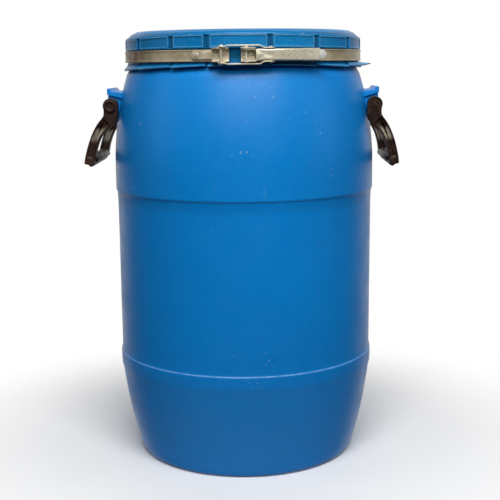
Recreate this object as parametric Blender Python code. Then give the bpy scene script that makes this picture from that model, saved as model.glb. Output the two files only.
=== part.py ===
"""Open head plastic drum of about 60 litres, with its lid, lever closing ring and two side handles.

Metres, +Z up. The origin is the centre of the base, on the floor. The ring's lever is at -Y and the
handles are at -X and +X. Angles round the drum are in degrees, from -Y towards +X.
"""

import math

import bmesh
import bpy
from mathutils import Matrix, Vector

# Drum body, radii and heights of its outer side
SIDES = 48
UPPER_R = 0.1945
MIDDLE_R = 0.1920
LOWER_R = 0.1940
UPPER_LINE_Z = 0.4045
LOWER_LINE_Z = 0.1590
SHOULDER_Z = 0.4400
SHOULDER_BEND = 0.4500
SHOULDER_TOP_Z = 0.5750
FOOT_R = 0.1540
FOOT_TOP_Z = 0.0120
WALL = 0.0035
BASE_TOP_Z = 0.0060
NECK_R = 0.1630
NECK_Z = (0.5930, 0.6080)
BEAD_R = 0.1675
BEAD_Z = (0.6115, 0.6205)
RIM_Z = 0.6245
MOUTH_R = 0.1580
GAP = 0.0003

# Lid
CROWN_Z = 0.6360
CROWN_R = (0.1505, 0.1580)
WELL_R = 0.1460
WELL_Z = 0.6180
LID_WALL = 0.0030
PANEL_R = 0.1745
PANEL_Z = (0.6110, 0.6292)
GROOVE_R = 0.1713
SKIRT_IN_R = 0.1690
CHANNEL_R = (0.1540, 0.1672)
CHANNEL_Z = 0.6285
STRIP_WIDTH = 0.0080
STRIP_DEPTH = 0.0012
SLIT_WIDTH = 0.0030
FRONT_STRIPS = (-82.4, -57.5, -34.2, -16.1, 12.4, 35.6, 58.5, 82.4)
BACK_STRIPS = 7
FLARED_STRIPS = (58.5, 82.4)
FLARE = 0.0155
FLARE_LIFT = 0.0045
EDGE_SAG = 0.0050
SKIRT_TOP = (0.1745, 0.5900)
SKIRT_MIDDLE_R = 0.1765
SKIRT_FOOT_R = 0.1738
SKIRT_FOOT_Z = 0.5870
SKIRT_DROP = (0.0055, 0.0013)

# Closing ring; the latch's middle plane is turned a little from -Y
LATCH_TURN = 0.94
RING_Z = 0.6003
RING_R = 0.1755
RING_HALF = 0.0080
RING_SHEET = 0.0010
RING_LEG_R = 0.1722
RING_STEPS = 24
LEFT_RING_END = -5.8
RIGHT_RING_END = -0.6

# Latch: angles round the drum, and heights from LATCH_Z
LATCH_Z = RING_Z + 0.0008
PLATE = 0.0015
BRACKET_R = RING_R + GAP
FLANGE_Z = (0.0080, 0.0095)
FLANGE_R = 0.1890
FLANGE_RISE = ((-13.4, 0.1790), (-12.4, 0.1835))
TAIL_HALF = 0.0058
TAIL_ANGLES = (-22.8, -13.4)
PIN_R = 0.0015
RIVET_R = 0.0016
BAND_RIVET_HEAD = (0.0034, 0.0009)
FULCRUM_HEAD = (0.0030, 0.0010)
LINK_RIVET_HEAD = (0.0024, 0.0009)
LINK_PIN_HEAD = (0.0028, 0.0017)
ANCHOR_RIVET_ANGLES = (-20.4, -11.2)
FULCRUM_RIVET_ANGLES = (0.9, 3.9)
PIVOT_R = 0.1845
LINK_PIN_ANGLE = -8.8
LINK_RIVET_ANGLE = 11.9
FULCRUM_ANGLE = 1.6
FULCRUM_R = 0.1840
FULCRUM_ANGLES = (RIGHT_RING_END, 5.5)
LEVER_ANGLES = (5.6, 33.7)
LEVER_WAIST = 16.0
LEVER_R = 0.1885
LEVER_CHEEK_R = 0.1795
LEVER_HALF = 0.0077
LEVER_END_HALF = 0.0084
LEVER_SHEET = 0.0012
LEVER_EYE_R = 0.0046
LEVER_TAB = ((32.9, 0.0060, 0), (34.9, 0.0060, 0.0006), (35.9, 0.0056, 0.0014), (36.7, 0.0038, 0.0024))
STRAP_THICK = 0.0017
STRAP_HALF = 0.0050
STRAP_LEVELS = (0.0099, 0.0113, 0.0081)
STRAP_JOGGLES = (0.0040, 0.0080, 0.0510, 0.0580)
SLOT_LEFT = 0.0021
SLOT_RIGHT = 0.0076

# Handles
HINGE_X = 0.1910
HINGE_Z = 0.5310
HUB_R = 0.0108
ARM_Y = (0.0582, 0.0742)
HUB_Y = (0.0572, 0.0752)
LUG_Y = 0.0390
LUG_FOOT_Z = 0.5030
LUG_ROOT_X = 0.1600
LUG_END_X = 0.1990
CAP_Y = 0.0425
CAP_END_X = 0.1998
CAP_TOP_Z = (0.5555, 0.5508)
CAP_RIB_X = (0.1935, 0.1900)
COLLAR_R = 0.0072
HANDLE_PIN_R = 0.0035
PIN_HEAD_R = 0.0086
PIN_TAIL = 0.0030
CLIP_R = 0.0055
CLIP_THICK = 0.0016
SIDE = {"left": -1, "right": 1}
HANG = {"left": 0.0, "right": -3.2}
ARM_PATH = (
    (0.0002, 0.0040, 0.0100),
    (0.0002, -0.0150, 0.0100),
    (0.0050, -0.0225, 0.0094),
    (0.0140, -0.0310, 0.0076),
    (0.0222, -0.0445, 0.0068),
    (0.0280, -0.0600, 0.0068),
    (0.0320, -0.0760, 0.0072),
    (0.0346, -0.0850, 0.0060),
)
GRIP_CENTRE = (0.0312, -0.0790)
GRIP_R = (0.0085, 0.0062)
GRIP_ARC = (-15, 200)
GRIP_CORE = (0.0320, -0.0845)
GRIP_CORE_R = 0.0042
POCKET_DEPTH = 0.0030
POCKET_EDGE = 0.0024

BLUE = (0.005, 0.160, 0.440)
LID_BLUE = (0.005, 0.130, 0.330)
ZINC = (0.560, 0.500, 0.380)
STEEL = (0.620, 0.580, 0.480)
BROWN = (0.030, 0.022, 0.018)
FOAM = (0.060, 0.060, 0.062)


def clear_scene():
    for item in list(bpy.data.objects):
        bpy.data.objects.remove(item, do_unlink=True)


def finish_material(name, colour, roughness, metallic):
    material = bpy.data.materials.new(name)
    material.use_nodes = True
    shader = material.node_tree.nodes["Principled BSDF"]
    shader.inputs["Base Color"].default_value = (*colour, 1.0)
    shader.inputs["Roughness"].default_value = roughness
    shader.inputs["Metallic"].default_value = metallic
    material.diffuse_color = (*colour, 1.0)
    return material


def make_object(name, points, faces, material=None, parent=None):
    """A closed mesh object with its normals facing out, placed by its own points."""
    mesh = bpy.data.meshes.new(name)
    mesh.from_pydata([tuple(point) for point in points], [], faces)
    shape = bmesh.new()
    shape.from_mesh(mesh)
    bmesh.ops.remove_doubles(shape, verts=shape.verts, dist=1e-6)
    bmesh.ops.recalc_face_normals(shape, faces=shape.faces)
    shape.to_mesh(mesh)
    shape.free()
    mesh.shade_smooth()
    mesh.set_sharp_from_angle(angle=math.radians(35))
    item = bpy.data.objects.new(name, mesh)
    bpy.context.scene.collection.objects.link(item)
    if material:
        mesh.materials.append(material)
    if parent:
        keep_place(item, parent)
    return item


def keep_place(item, parent):
    """Parents the item without moving it."""
    bpy.context.view_layer.update()
    item.parent = parent
    item.matrix_parent_inverse = parent.matrix_world.inverted()


def as_tool(item):
    item.hide_render = True
    item.display_type = "WIRE"
    return item


def combine(item, tools, operation):
    """Adds one Boolean modifier for each tool, which is hidden from renders."""
    for number, tool in enumerate(tools, 1):
        as_tool(tool)
        modifier = item.modifiers.new(f"{operation.lower()}_{number}", "BOOLEAN")
        modifier.operation = operation
        modifier.object = tool
    return item


def loft(name, sections, material=None, parent=None, ring=False):
    """Joins equal sections in order, capped at both ends unless they close into a ring."""
    count = len(sections[0])
    points = [point for section in sections for point in section]
    faces = []
    for first in range(len(sections) if ring else len(sections) - 1):
        second = (first + 1) % len(sections)
        for corner in range(count):
            after = (corner + 1) % count
            faces.append(
                (
                    first * count + corner,
                    first * count + after,
                    second * count + after,
                    second * count + corner,
                )
            )
    if not ring:
        last = (len(sections) - 1) * count
        faces.append(tuple(range(count))[::-1])
        faces.append(tuple(last + corner for corner in range(count)))
    return make_object(name, points, faces, material, parent)


def at_angle(angle, radius, z):
    turn = math.radians(angle)
    return Vector((radius * math.sin(turn), -radius * math.cos(turn), z))


def turned(name, profile, material=None, parent=None):
    """Turns a closed outline about the upright axis; profile(angle) gives its (radius, height) corners."""
    sections = []
    for side in range(SIDES):
        angle = 360 * side / SIDES
        sections.append([at_angle(angle, radius, z) for radius, z in profile(angle)])
    return loft(name, sections, material, parent, ring=True)


def swept(name, stations, material=None, parent=None, base=LATCH_Z):
    """Joins (angle, outline) stations round the latch's side, with heights from the base level."""
    sections = []
    for angle, outline in stations:
        sections.append([at_angle(angle + LATCH_TURN, r, base + z) for r, z in outline])
    return loft(name, sections, material, parent)


def steps(start, end, count):
    return [start + (end - start) * step / count for step in range(count + 1)]


def pin(name, foot, direction, profile, material=None, sides=20, parent=None):
    """Turns a (radius, height) outline about an axis from the foot point along the direction."""
    turn = Vector((0, 0, 1)).rotation_difference(Vector(direction)).to_matrix().to_4x4()
    place = Matrix.Translation(Vector(foot)) @ turn
    sections = []
    for side in range(sides):
        angle = 2 * math.pi * side / sides
        section = []
        for radius, height in profile:
            local = Vector((radius * math.cos(angle), radius * math.sin(angle), height))
            section.append(place @ local)
        sections.append(section)
    return loft(name, sections, material, parent, ring=True)


def rod_profile(radius, low, high):
    return [(0, low), (radius, low), (radius, high), (0, high)]


def rivet_profile(shank, head, low, high, thick):
    """A rivet whose two heads bear on the faces at heights low and high."""
    return [
        (0, low - GAP - thick),
        (head * 0.75, low - GAP - thick),
        (head, low - GAP - thick * 0.4),
        (head, low - GAP),
        (shank, low - GAP),
        (shank, high + GAP),
        (head, high + GAP),
        (head, high + GAP + thick * 0.4),
        (head * 0.6, high + GAP + thick),
        (0, high + GAP + thick * 1.15),
    ]


def hole(name, foot, direction, radius, low, high):
    return pin(name, foot, direction, rod_profile(radius, low, high), sides=20)


def box(name, centre_angle, radii, heights, width):
    """A block whose width runs round the drum at the given angle."""
    turn = Matrix.Rotation(math.radians(centre_angle), 3, "Z")
    inner, outer = radii
    low, high = heights
    corners = [(inner, low), (outer, low), (outer, high), (inner, high)]
    sections = []
    for side in (-width / 2, width / 2):
        sections.append([turn @ Vector((side, -r, z)) for r, z in corners])
    return loft(name, sections)


def merged(name, items):
    """Joins separate closed bodies, which don't touch, into one tool."""
    points = []
    faces = []
    for item in items:
        base = len(points)
        points += [vertex.co.copy() for vertex in item.data.vertices]
        faces += [tuple(base + corner for corner in face.vertices) for face in item.data.polygons]
        bpy.data.objects.remove(item, do_unlink=True)
    return make_object(name, points, faces)


def lower_radius(z):
    """The wall under the lower line leans in gently and then faster, down to the foot."""
    drop = LOWER_LINE_Z - 0.003 - z
    return LOWER_R - 0.076 * drop - 0.752 * drop * drop


def shoulder_radius(z):
    rise = z - SHOULDER_Z
    return UPPER_R - SHOULDER_BEND + math.sqrt(SHOULDER_BEND**2 - rise * rise)


def body_outline(_):
    """The drum's outer side as a filled shape, from the rim down to the middle of the base."""
    outline = [(0, RIM_Z), (BEAD_R - 0.0030, RIM_Z), (BEAD_R, BEAD_Z[1]), (BEAD_R, BEAD_Z[0])]
    outline += [(NECK_R, NECK_Z[1]), (NECK_R, NECK_Z[0]), (0.1645, 0.5882), (0.1690, 0.5828)]
    for z in steps(SHOULDER_TOP_Z, SHOULDER_Z, 6):
        outline.append((shoulder_radius(z), z))
    outline += [(UPPER_R, UPPER_LINE_Z + 0.0020), (MIDDLE_R, UPPER_LINE_Z - 0.0020)]
    outline += [(MIDDLE_R, LOWER_LINE_Z + 0.0030), (LOWER_R, LOWER_LINE_Z - 0.0030)]
    for z in steps(0.120, FOOT_TOP_Z, 4):
        outline.append((lower_radius(z), z))
    outline += [(0.1625, 0.0040), (0.1590, 0.0010), (FOOT_R, 0)]
    outline += [(0.1400, 0), (0.1380, 0.0020), (0.0570, 0.0020), (0.0550, 0), (0, 0)]
    return outline


def cavity_outline(_):
    """The inside of the drum, running out past the rim."""
    outline = [(0, RIM_Z + 0.0100), (MOUTH_R, RIM_Z + 0.0100), (MOUTH_R, 0.5950), (0.1640, 0.5830)]
    for z in steps(SHOULDER_TOP_Z - 0.004, SHOULDER_Z, 4):
        outline.append((shoulder_radius(z) - WALL, z))
    outline += [(MIDDLE_R - WALL, UPPER_LINE_Z - 0.0040), (MIDDLE_R - WALL, LOWER_LINE_Z)]
    for z in steps(0.120, 0.020, 3):
        outline.append((lower_radius(z) - WALL, z))
    outline += [(0.1560, BASE_TOP_Z + 0.0020), (0.1500, BASE_TOP_Z), (0, BASE_TOP_Z)]
    return outline


def side_block(name, side, outline, half_width):
    """An (outward, height) outline pushed out along Y on both sides of the middle."""
    sections = []
    for y in (-half_width, half_width):
        sections.append([Vector((side * x, y, z)) for x, z in outline])
    return loft(name, sections)


def cap_under(x):
    """The height of the cap's underside, which rises outwards."""
    return 0.5439 + 0.272 * (x - HINGE_X)


def lug(name, side):
    """The moulded block that carries a handle's pin, and the sloping cap over it."""
    root = LUG_ROOT_X
    block = [(root, LUG_FOOT_Z), (0.1835, LUG_FOOT_Z), (LUG_END_X, 0.5195)]
    block += [(LUG_END_X, cap_under(LUG_END_X) + 0.0010), (root, cap_under(root) + 0.0010)]
    cap = [(root, cap_under(root)), (CAP_END_X, cap_under(CAP_END_X)), (CAP_END_X, CAP_TOP_Z[0])]
    cap += [(CAP_RIB_X[0], CAP_TOP_Z[0]), (CAP_RIB_X[1], CAP_TOP_Z[1]), (root, CAP_TOP_Z[1] - 0.0025)]
    body = side_block(f"{name}_block", side, block, LUG_Y)
    top = side_block(f"{name}_cap", side, cap, CAP_Y)
    return [body, top]


def make_drum_body(blue):
    body = turned("drum_body", body_outline, blue)
    lugs = lug("left_lug", -1) + lug("right_lug", 1)
    combine(body, lugs, "UNION")
    combine(body, [turned("drum_cavity", cavity_outline)], "DIFFERENCE")
    for word, side in SIDE.items():
        foot = (side * HINGE_X, 0, HINGE_Z)
        bore = hole(f"{word}_lug_bore", foot, (0, 1, 0), HANDLE_PIN_R + GAP, -0.0500, 0.0500)
        combine(body, [bore], "DIFFERENCE")
    return body


def sideways(angle):
    """0 at the front and back of the lid, 1 at its sides."""
    return math.sin(math.radians(angle)) ** 2


def skirt_foot(angle):
    """The skirt's lower edge hangs further down at the sides, most of all on the left."""
    drop, lean = SKIRT_DROP
    return SKIRT_FOOT_Z - drop * sideways(angle) + lean * math.sin(math.radians(angle))


def lid_outline(angle):
    """The lid is bowed, so its outer edge lies lower at the sides than at the front and back."""
    sag = EDGE_SAG * sideways(angle)
    foot = skirt_foot(angle)
    return [
        (0, WELL_Z),
        (WELL_R, WELL_Z),
        (WELL_R + 0.0020, CROWN_Z - 0.0030),
        (CROWN_R[0], CROWN_Z),
        (CROWN_R[1], CROWN_Z),
        (0.1645, 0.6351 - sag * 0.75),
        (0.1700, 0.6332 - sag * 0.95),
        (0.1738, 0.6306 - sag),
        (PANEL_R, PANEL_Z[1] - sag),
        (PANEL_R, PANEL_Z[0] - sag * 0.3),
        (GROOVE_R, PANEL_Z[0] - 0.0010 - sag * 0.3),
        (GROOVE_R, 0.5912),
        SKIRT_TOP,
        (SKIRT_MIDDLE_R, foot + 0.0010),
        (SKIRT_FOOT_R, foot),
        (0.1714, foot + 0.0014),
        (SKIRT_IN_R, SKIRT_TOP[1]),
        (SKIRT_IN_R, CHANNEL_Z - 0.0015),
        (CHANNEL_R[1], CHANNEL_Z),
        (CHANNEL_R[0], CHANNEL_Z),
        (CHANNEL_R[0] - 0.0010, WELL_Z),
        (WELL_R + 0.0025, WELL_Z - LID_WALL),
        (0, WELL_Z - LID_WALL),
    ]


def strip_angles():
    """The strips between the lid's panels: a list at the front and an even run at the back."""
    first, last = FRONT_STRIPS[-1], 360 + FRONT_STRIPS[0]
    pitch = (last - first) / (BACK_STRIPS + 1)
    return list(FRONT_STRIPS) + [first + pitch * (number + 1) for number in range(BACK_STRIPS)]


def flared_segment():
    """The bent-out foot of one skirt segment, which leans further out towards its far end."""
    first, last = FLARED_STRIPS
    half_slit = math.degrees(SLIT_WIDTH / 2 / PANEL_R)
    inner, root = SKIRT_IN_R + 0.0004, GROOVE_R - 0.0002
    stations = []
    for angle in steps(first + half_slit, last - half_slit, 6):
        share = ((angle - first) / (last - first)) ** 2
        out = FLARE * share
        foot = skirt_foot(angle) + FLARE_LIFT * share
        outline = [(inner, 0.5940), (root, 0.5940), (root, 0.5914), (PANEL_R + out * 0.35, SKIRT_TOP[1])]
        outline += [(SKIRT_MIDDLE_R + out, foot + 0.0020), (SKIRT_FOOT_R + out, foot)]
        outline.append((inner + out * 0.25, 0.5880))
        stations.append((angle, outline))
    return swept("flared_segment", stations, base=0)


def make_lid(blue, parent):
    lid = turned("lid", lid_outline, blue, parent=parent)
    recesses = []
    slits = []
    for angle in strip_angles():
        turn = angle + LATCH_TURN
        radii = (PANEL_R - STRIP_DEPTH, 0.1800)
        top = 0.6280 - EDGE_SAG * sideways(turn)
        recesses.append(box("recess", turn, radii, (0.6080, top), STRIP_WIDTH))
        slits.append(box("slit", turn, (0.1600, 0.1800), (0.5800, 0.5925), SLIT_WIDTH))
    combine(lid, [merged("lid_recesses", recesses), merged("lid_slits", slits)], "DIFFERENCE")
    middle = sum(FLARED_STRIPS) / 2 + LATCH_TURN
    width = 2 * 0.1695 * math.sin(math.radians((FLARED_STRIPS[1] - FLARED_STRIPS[0]) / 2))
    clear = box("flared_space", middle, (0.1500, 0.1800), (0.5800, 0.5918), width)
    combine(lid, [clear], "DIFFERENCE")
    combine(lid, [flared_segment()], "UNION")
    return lid


def gasket_outline(_):
    low, high = RIM_Z + GAP, CHANNEL_Z - GAP
    inner, outer = CHANNEL_R[0] + 0.0025, CHANNEL_R[1] - 0.0020
    return [(inner, high), (outer, high), (outer, low), (inner, low)]


def ring_outline():
    leg = RING_HALF - RING_SHEET
    web = RING_R - RING_SHEET
    return [
        (RING_LEG_R, RING_HALF),
        (RING_R - 0.0004, RING_HALF),
        (RING_R, RING_HALF - 0.0004),
        (RING_R, 0.0004 - RING_HALF),
        (RING_R - 0.0004, -RING_HALF),
        (RING_LEG_R, -RING_HALF),
        (RING_LEG_R, -leg),
        (web, -leg),
        (web, leg),
        (RING_LEG_R, leg),
    ]


def make_ring_half(name, start, end, zinc, parent):
    outline = ring_outline()
    stations = [(angle, outline) for angle in steps(start, end, RING_STEPS)]
    return swept(name, stations, zinc, parent, base=RING_Z)


def flange_outline(reach, low=FLANGE_Z[0], high=FLANGE_Z[1]):
    """A trough that opens outward: a web on the ring and two level flanges."""
    web = BRACKET_R + PLATE
    return [
        (BRACKET_R, high),
        (reach, high),
        (reach, low),
        (web, low),
        (web, -low),
        (reach, -low),
        (reach, -high),
        (BRACKET_R, -high),
    ]


def radial_pair(angle):
    """A point on the ring's outer face, and the outward direction there."""
    turn = angle + LATCH_TURN
    return at_angle(turn, RING_R, LATCH_Z), at_angle(turn, 1.0, 0.0)


def make_band_rivet(name, angle, plates, steel, parent):
    """A rivet through the ring and a bracket; the plates get a clearance hole each."""
    foot, out = radial_pair(angle)
    head, thick = BAND_RIVET_HEAD
    profile = rivet_profile(RIVET_R, head, -RING_SHEET - 0.0004, GAP + PLATE, thick)
    rivet = pin(name, foot, out, profile, steel, parent=parent)
    for plate in plates:
        bore = hole(f"{name}_{plate.name}_hole", foot, out, RIVET_R + GAP, -0.0060, 0.0060)
        combine(plate, [bore], "DIFFERENCE")
    return rivet


def upright(angle, radius):
    """The foot of an upright pin, level with the latch's middle."""
    return at_angle(angle + LATCH_TURN, radius, LATCH_Z)


def pin_slot():
    """The mouth in the anchor's flanges that the link's pin lies in, open to the outside."""
    foot = upright(LINK_PIN_ANGLE, PIVOT_R)
    turn = Matrix.Rotation(math.radians(LINK_PIN_ANGLE + LATCH_TURN), 3, "Z")
    outline = [(-SLOT_LEFT, SLOT_LEFT), (SLOT_RIGHT, SLOT_LEFT)]
    outline += [(SLOT_RIGHT, -0.0100), (-SLOT_LEFT, -0.0100)]
    sections = []
    for z in (-0.0130, 0.0130):
        sections.append([foot + turn @ Vector((x, y, z)) for x, y in outline])
    return loft("pin_slot", sections)


def make_anchor(zinc, parent):
    start, end = TAIL_ANGLES
    round_span = math.degrees(TAIL_HALF / BRACKET_R)
    stations = []
    for share in (0.0, 0.12, 0.35, 0.65, 1.0):
        half = TAIL_HALF * math.sqrt(1 - (1 - share) ** 2) + 0.0010 * (1 - share)
        stations.append((start + round_span * share, half))
    stations += [(angle, TAIL_HALF) for angle in steps(start + 4.0, end + 1.0, 3)]
    outlines = []
    for angle, half in stations:
        low, high = BRACKET_R, BRACKET_R + PLATE
        outlines.append((angle, [(low, half), (high, half), (high, -half), (low, -half)]))
    tail = swept("anchor_tail", outlines)
    trough = [(angle, flange_outline(reach)) for angle, reach in FLANGE_RISE]
    trough += [(angle, flange_outline(FLANGE_R)) for angle in steps(-10.8, LEFT_RING_END, 2)]
    anchor = swept("anchor_bracket", trough, zinc, parent)
    combine(anchor, [tail], "UNION")
    combine(anchor, [pin_slot()], "DIFFERENCE")
    return anchor


def make_fulcrum_bracket(zinc, parent):
    stations = [(angle, flange_outline(FLANGE_R)) for angle in steps(*FULCRUM_ANGLES, 3)]
    bracket = swept("fulcrum_bracket", stations, zinc, parent)
    foot = upright(FULCRUM_ANGLE, FULCRUM_R)
    bore = hole("fulcrum_bracket_bore", foot, (0, 0, 1), RIVET_R + GAP, -0.0130, 0.0130)
    return combine(bracket, [bore], "DIFFERENCE")


def cheek(name, side):
    """The lever's cheek beside its fulcrum, with a round end about the pin."""
    low, high = sorted((side * (LEVER_HALF - LEVER_SHEET), side * LEVER_HALF))
    foot = upright(FULCRUM_ANGLE, FULCRUM_R)
    disc = pin(f"{name}_eye", foot, (0, 0, 1), rod_profile(LEVER_EYE_R, low, high), sides=24)
    outline = [(LEVER_CHEEK_R, low), (LEVER_R, low), (LEVER_R, high), (LEVER_CHEEK_R, high)]
    arm = swept(f"{name}_arm", [(angle, outline) for angle in steps(1.7, 6.4, 2)])
    return [disc, arm]


def lever_trough(angle):
    """The lever's section, which opens inward and grows taller towards the lever's end."""
    share = max(0.0, (angle - LEVER_WAIST) / (LEVER_ANGLES[1] - LEVER_WAIST))
    half = LEVER_HALF + (LEVER_END_HALF - LEVER_HALF) * share
    inner = half - LEVER_SHEET
    web = LEVER_R - LEVER_SHEET
    return [
        (LEVER_CHEEK_R, half),
        (LEVER_R, half),
        (LEVER_R, -half),
        (LEVER_CHEEK_R, -half),
        (LEVER_CHEEK_R, -inner),
        (web, -inner),
        (web, inner),
        (LEVER_CHEEK_R, inner),
    ]


def make_lever(zinc, parent):
    web = LEVER_R - LEVER_SHEET
    stations = [(angle, lever_trough(angle)) for angle in steps(*LEVER_ANGLES, 9)]
    lever = swept("closing_lever", stations, zinc, parent)
    tab = []
    for angle, half, out in LEVER_TAB:
        low, high = web + out, LEVER_R + out
        tab.append((angle, [(low, half), (high, half), (high, -half), (low, -half)]))
    pieces = [swept("lever_tab", tab)] + cheek("upper_cheek", 1) + cheek("lower_cheek", -1)
    combine(lever, pieces, "UNION")
    places = {"fulcrum": (FULCRUM_ANGLE, FULCRUM_R), "strap": (LINK_RIVET_ANGLE, PIVOT_R)}
    holes = []
    for name, place in places.items():
        foot = upright(*place)
        holes.append(hole(f"lever_{name}_bore", foot, (0, 0, 1), RIVET_R + GAP, -0.0100, 0.0100))
    return combine(lever, holes, "DIFFERENCE")


def strap_level(x):
    """The strap's inner face: it steps out between its ends to pass the fulcrum pin's heads."""
    left, middle, right = STRAP_LEVELS
    rise_start, rise_end, fall_start, fall_end = STRAP_JOGGLES
    if x < rise_start:
        return left
    if x < rise_end:
        return left + (middle - left) * (x - rise_start) / (rise_end - rise_start)
    if x < fall_start:
        return middle
    if x < fall_end:
        return middle + (right - middle) * (x - fall_start) / (fall_end - fall_start)
    return right


def make_strap(name, side, zinc, parent):
    """One of the two link straps, from the anchor's pin to its rivet on the lever."""
    foot = upright(LINK_PIN_ANGLE, PIVOT_R)
    far = upright(LINK_RIVET_ANGLE, PIVOT_R)
    along = (far - foot).normalized()
    outward = Vector((along.y, -along.x, 0))
    length = (far - foot).length
    ends = []
    for angle in steps(0, 90, 3):
        turn = math.radians(angle)
        ends.append((-STRAP_HALF * math.cos(turn), max(STRAP_HALF * math.sin(turn), 0.0008)))
    stations = list(ends)
    stations += [(x, STRAP_HALF) for x in STRAP_JOGGLES]
    stations += [(length - x, half) for x, half in reversed(ends)]
    sections = []
    for x, half in stations:
        low = strap_level(x)
        high = low + STRAP_THICK
        corners = ((-half, low), (half, low), (half, high), (-half, high))
        start = foot + along * x
        sections.append([start + outward * y + Vector((0, 0, side * z)) for y, z in corners])
    strap = loft(name, sections, zinc, parent)
    bores = [
        hole(f"{name}_pin_bore", foot, (0, 0, 1), PIN_R + GAP, -0.0200, 0.0200),
        hole(f"{name}_rivet_bore", far, (0, 0, 1), RIVET_R + GAP, -0.0200, 0.0200),
    ]
    return combine(strap, bores, "DIFFERENCE")


def ribbon(path, shrink=0.0):
    """The outline of a strip whose centre line and half widths are given."""
    left = []
    right = []
    for index, (x, z, half) in enumerate(path):
        before = path[max(index - 1, 0)]
        after = path[min(index + 1, len(path) - 1)]
        along = Vector((after[0] - before[0], after[1] - before[1])).normalized()
        across = Vector((along.y, -along.x)) * (half - shrink)
        left.append((x + across.x, z + across.y))
        right.append((x - across.x, z - across.y))
    return left + right[::-1]


def handle_piece(name, word, outline, y_low, y_high):
    """An outline beside the hinge, in (outward, up) from its axis, pushed from y_low to y_high."""
    side = SIDE[word]
    hang = Matrix.Rotation(math.radians(HANG[word]), 2)
    sections = []
    for y in (y_low, y_high):
        section = []
        for point in outline:
            x, z = hang @ Vector(point)
            section.append(Vector((side * (HINGE_X + x), y, HINGE_Z + z)))
        sections.append(section)
    return loft(name, sections)


def arc(centre, radius, start, end, count):
    points = []
    for angle in steps(start, end, count):
        turn = math.radians(angle)
        points.append((centre[0] + radius * math.cos(turn), centre[1] + radius * math.sin(turn)))
    return points


def grip_outline():
    """A half pipe, whose round back faces the hinge."""
    outer, inner = GRIP_R
    return arc(GRIP_CENTRE, outer, *GRIP_ARC, 10) + arc(GRIP_CENTRE, inner, *GRIP_ARC[::-1], 10)


def make_handle(word, brown, parent):
    name = f"handle_{word}"
    foot = (SIDE[word] * HINGE_X, 0, HINGE_Z)
    reach = ARM_Y[0] + 0.0040
    handle = handle_piece(name, word, grip_outline(), -reach, reach)
    handle.data.materials.append(brown)
    keep_place(handle, parent)
    core = arc(GRIP_CORE, GRIP_CORE_R, 0, 330, 11)
    pieces = [handle_piece(f"{name}_core", word, core, -reach, reach)]
    tools = []
    pocket = ribbon(ARM_PATH[2:-1], POCKET_EDGE)
    for end, place in ((-1, "front"), (1, "back")):
        title = f"{name}_{place}"
        low, high = sorted((end * ARM_Y[0], end * ARM_Y[1]))
        pieces.append(handle_piece(f"{title}_arm", word, ribbon(ARM_PATH), low, high))
        low, high = sorted((end * HUB_Y[0], end * HUB_Y[1]))
        pieces.append(pin(f"{title}_hub", foot, (0, 1, 0), rod_profile(HUB_R, low, high), sides=28))
        low, high = sorted((end * (LUG_Y + 2 * GAP), end * (HUB_Y[0] + 0.0010)))
        pieces.append(pin(f"{title}_collar", foot, (0, 1, 0), rod_profile(COLLAR_R, low, high)))
        for face, depth in ((ARM_Y[1], -POCKET_DEPTH), (ARM_Y[0], POCKET_DEPTH)):
            near, far = sorted((end * (face + depth), end * (face - depth)))
            tools.append(handle_piece(f"{title}_pocket", word, pocket, near, far))
    combine(handle, pieces, "UNION")
    combine(handle, tools, "DIFFERENCE")
    bore = hole(f"{name}_bore", foot, (0, 1, 0), HANDLE_PIN_R + GAP, -0.090, 0.090)
    return combine(handle, [bore], "DIFFERENCE")


def make_handle_pin(word, brown, parent):
    """The hinge pin, with a broad dished head at one end and a push-on clip near the other."""
    side = SIDE[word]
    foot = (side * HINGE_X, 0, HINGE_Z)
    out = (0, side, 0)
    head = HUB_Y[1] + GAP
    tail = -HUB_Y[1] - PIN_TAIL
    profile = [
        (0, tail),
        (HANDLE_PIN_R - 0.0006, tail),
        (HANDLE_PIN_R, tail + 0.0008),
        (HANDLE_PIN_R, head),
        (PIN_HEAD_R, head),
        (PIN_HEAD_R, head + 0.0012),
        (PIN_HEAD_R - 0.0010, head + 0.0022),
        (PIN_HEAD_R - 0.0028, head + 0.0022),
        (PIN_HEAD_R - 0.0044, head + 0.0008),
        (0, head + 0.0005),
    ]
    shaft = pin(f"handle_pin_{word}", foot, out, profile, brown, sides=28, parent=parent)
    high = -HUB_Y[1] - GAP
    bore, low = HANDLE_PIN_R + GAP, high - CLIP_THICK
    ring = [(bore, low), (CLIP_R, low), (CLIP_R, high), (bore, high)]
    clip = pin(f"handle_pin_clip_{word}", foot, out, ring, brown, sides=24, parent=parent)
    return shaft, clip


def pivot(name, place, parent=None):
    """An empty on a joint's axis, which its moving pieces hang from."""
    empty = bpy.data.objects.new(name, None)
    bpy.context.scene.collection.objects.link(empty)
    empty.empty_display_size = 0.02
    empty.location = place
    if parent:
        keep_place(empty, parent)
    return empty


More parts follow.
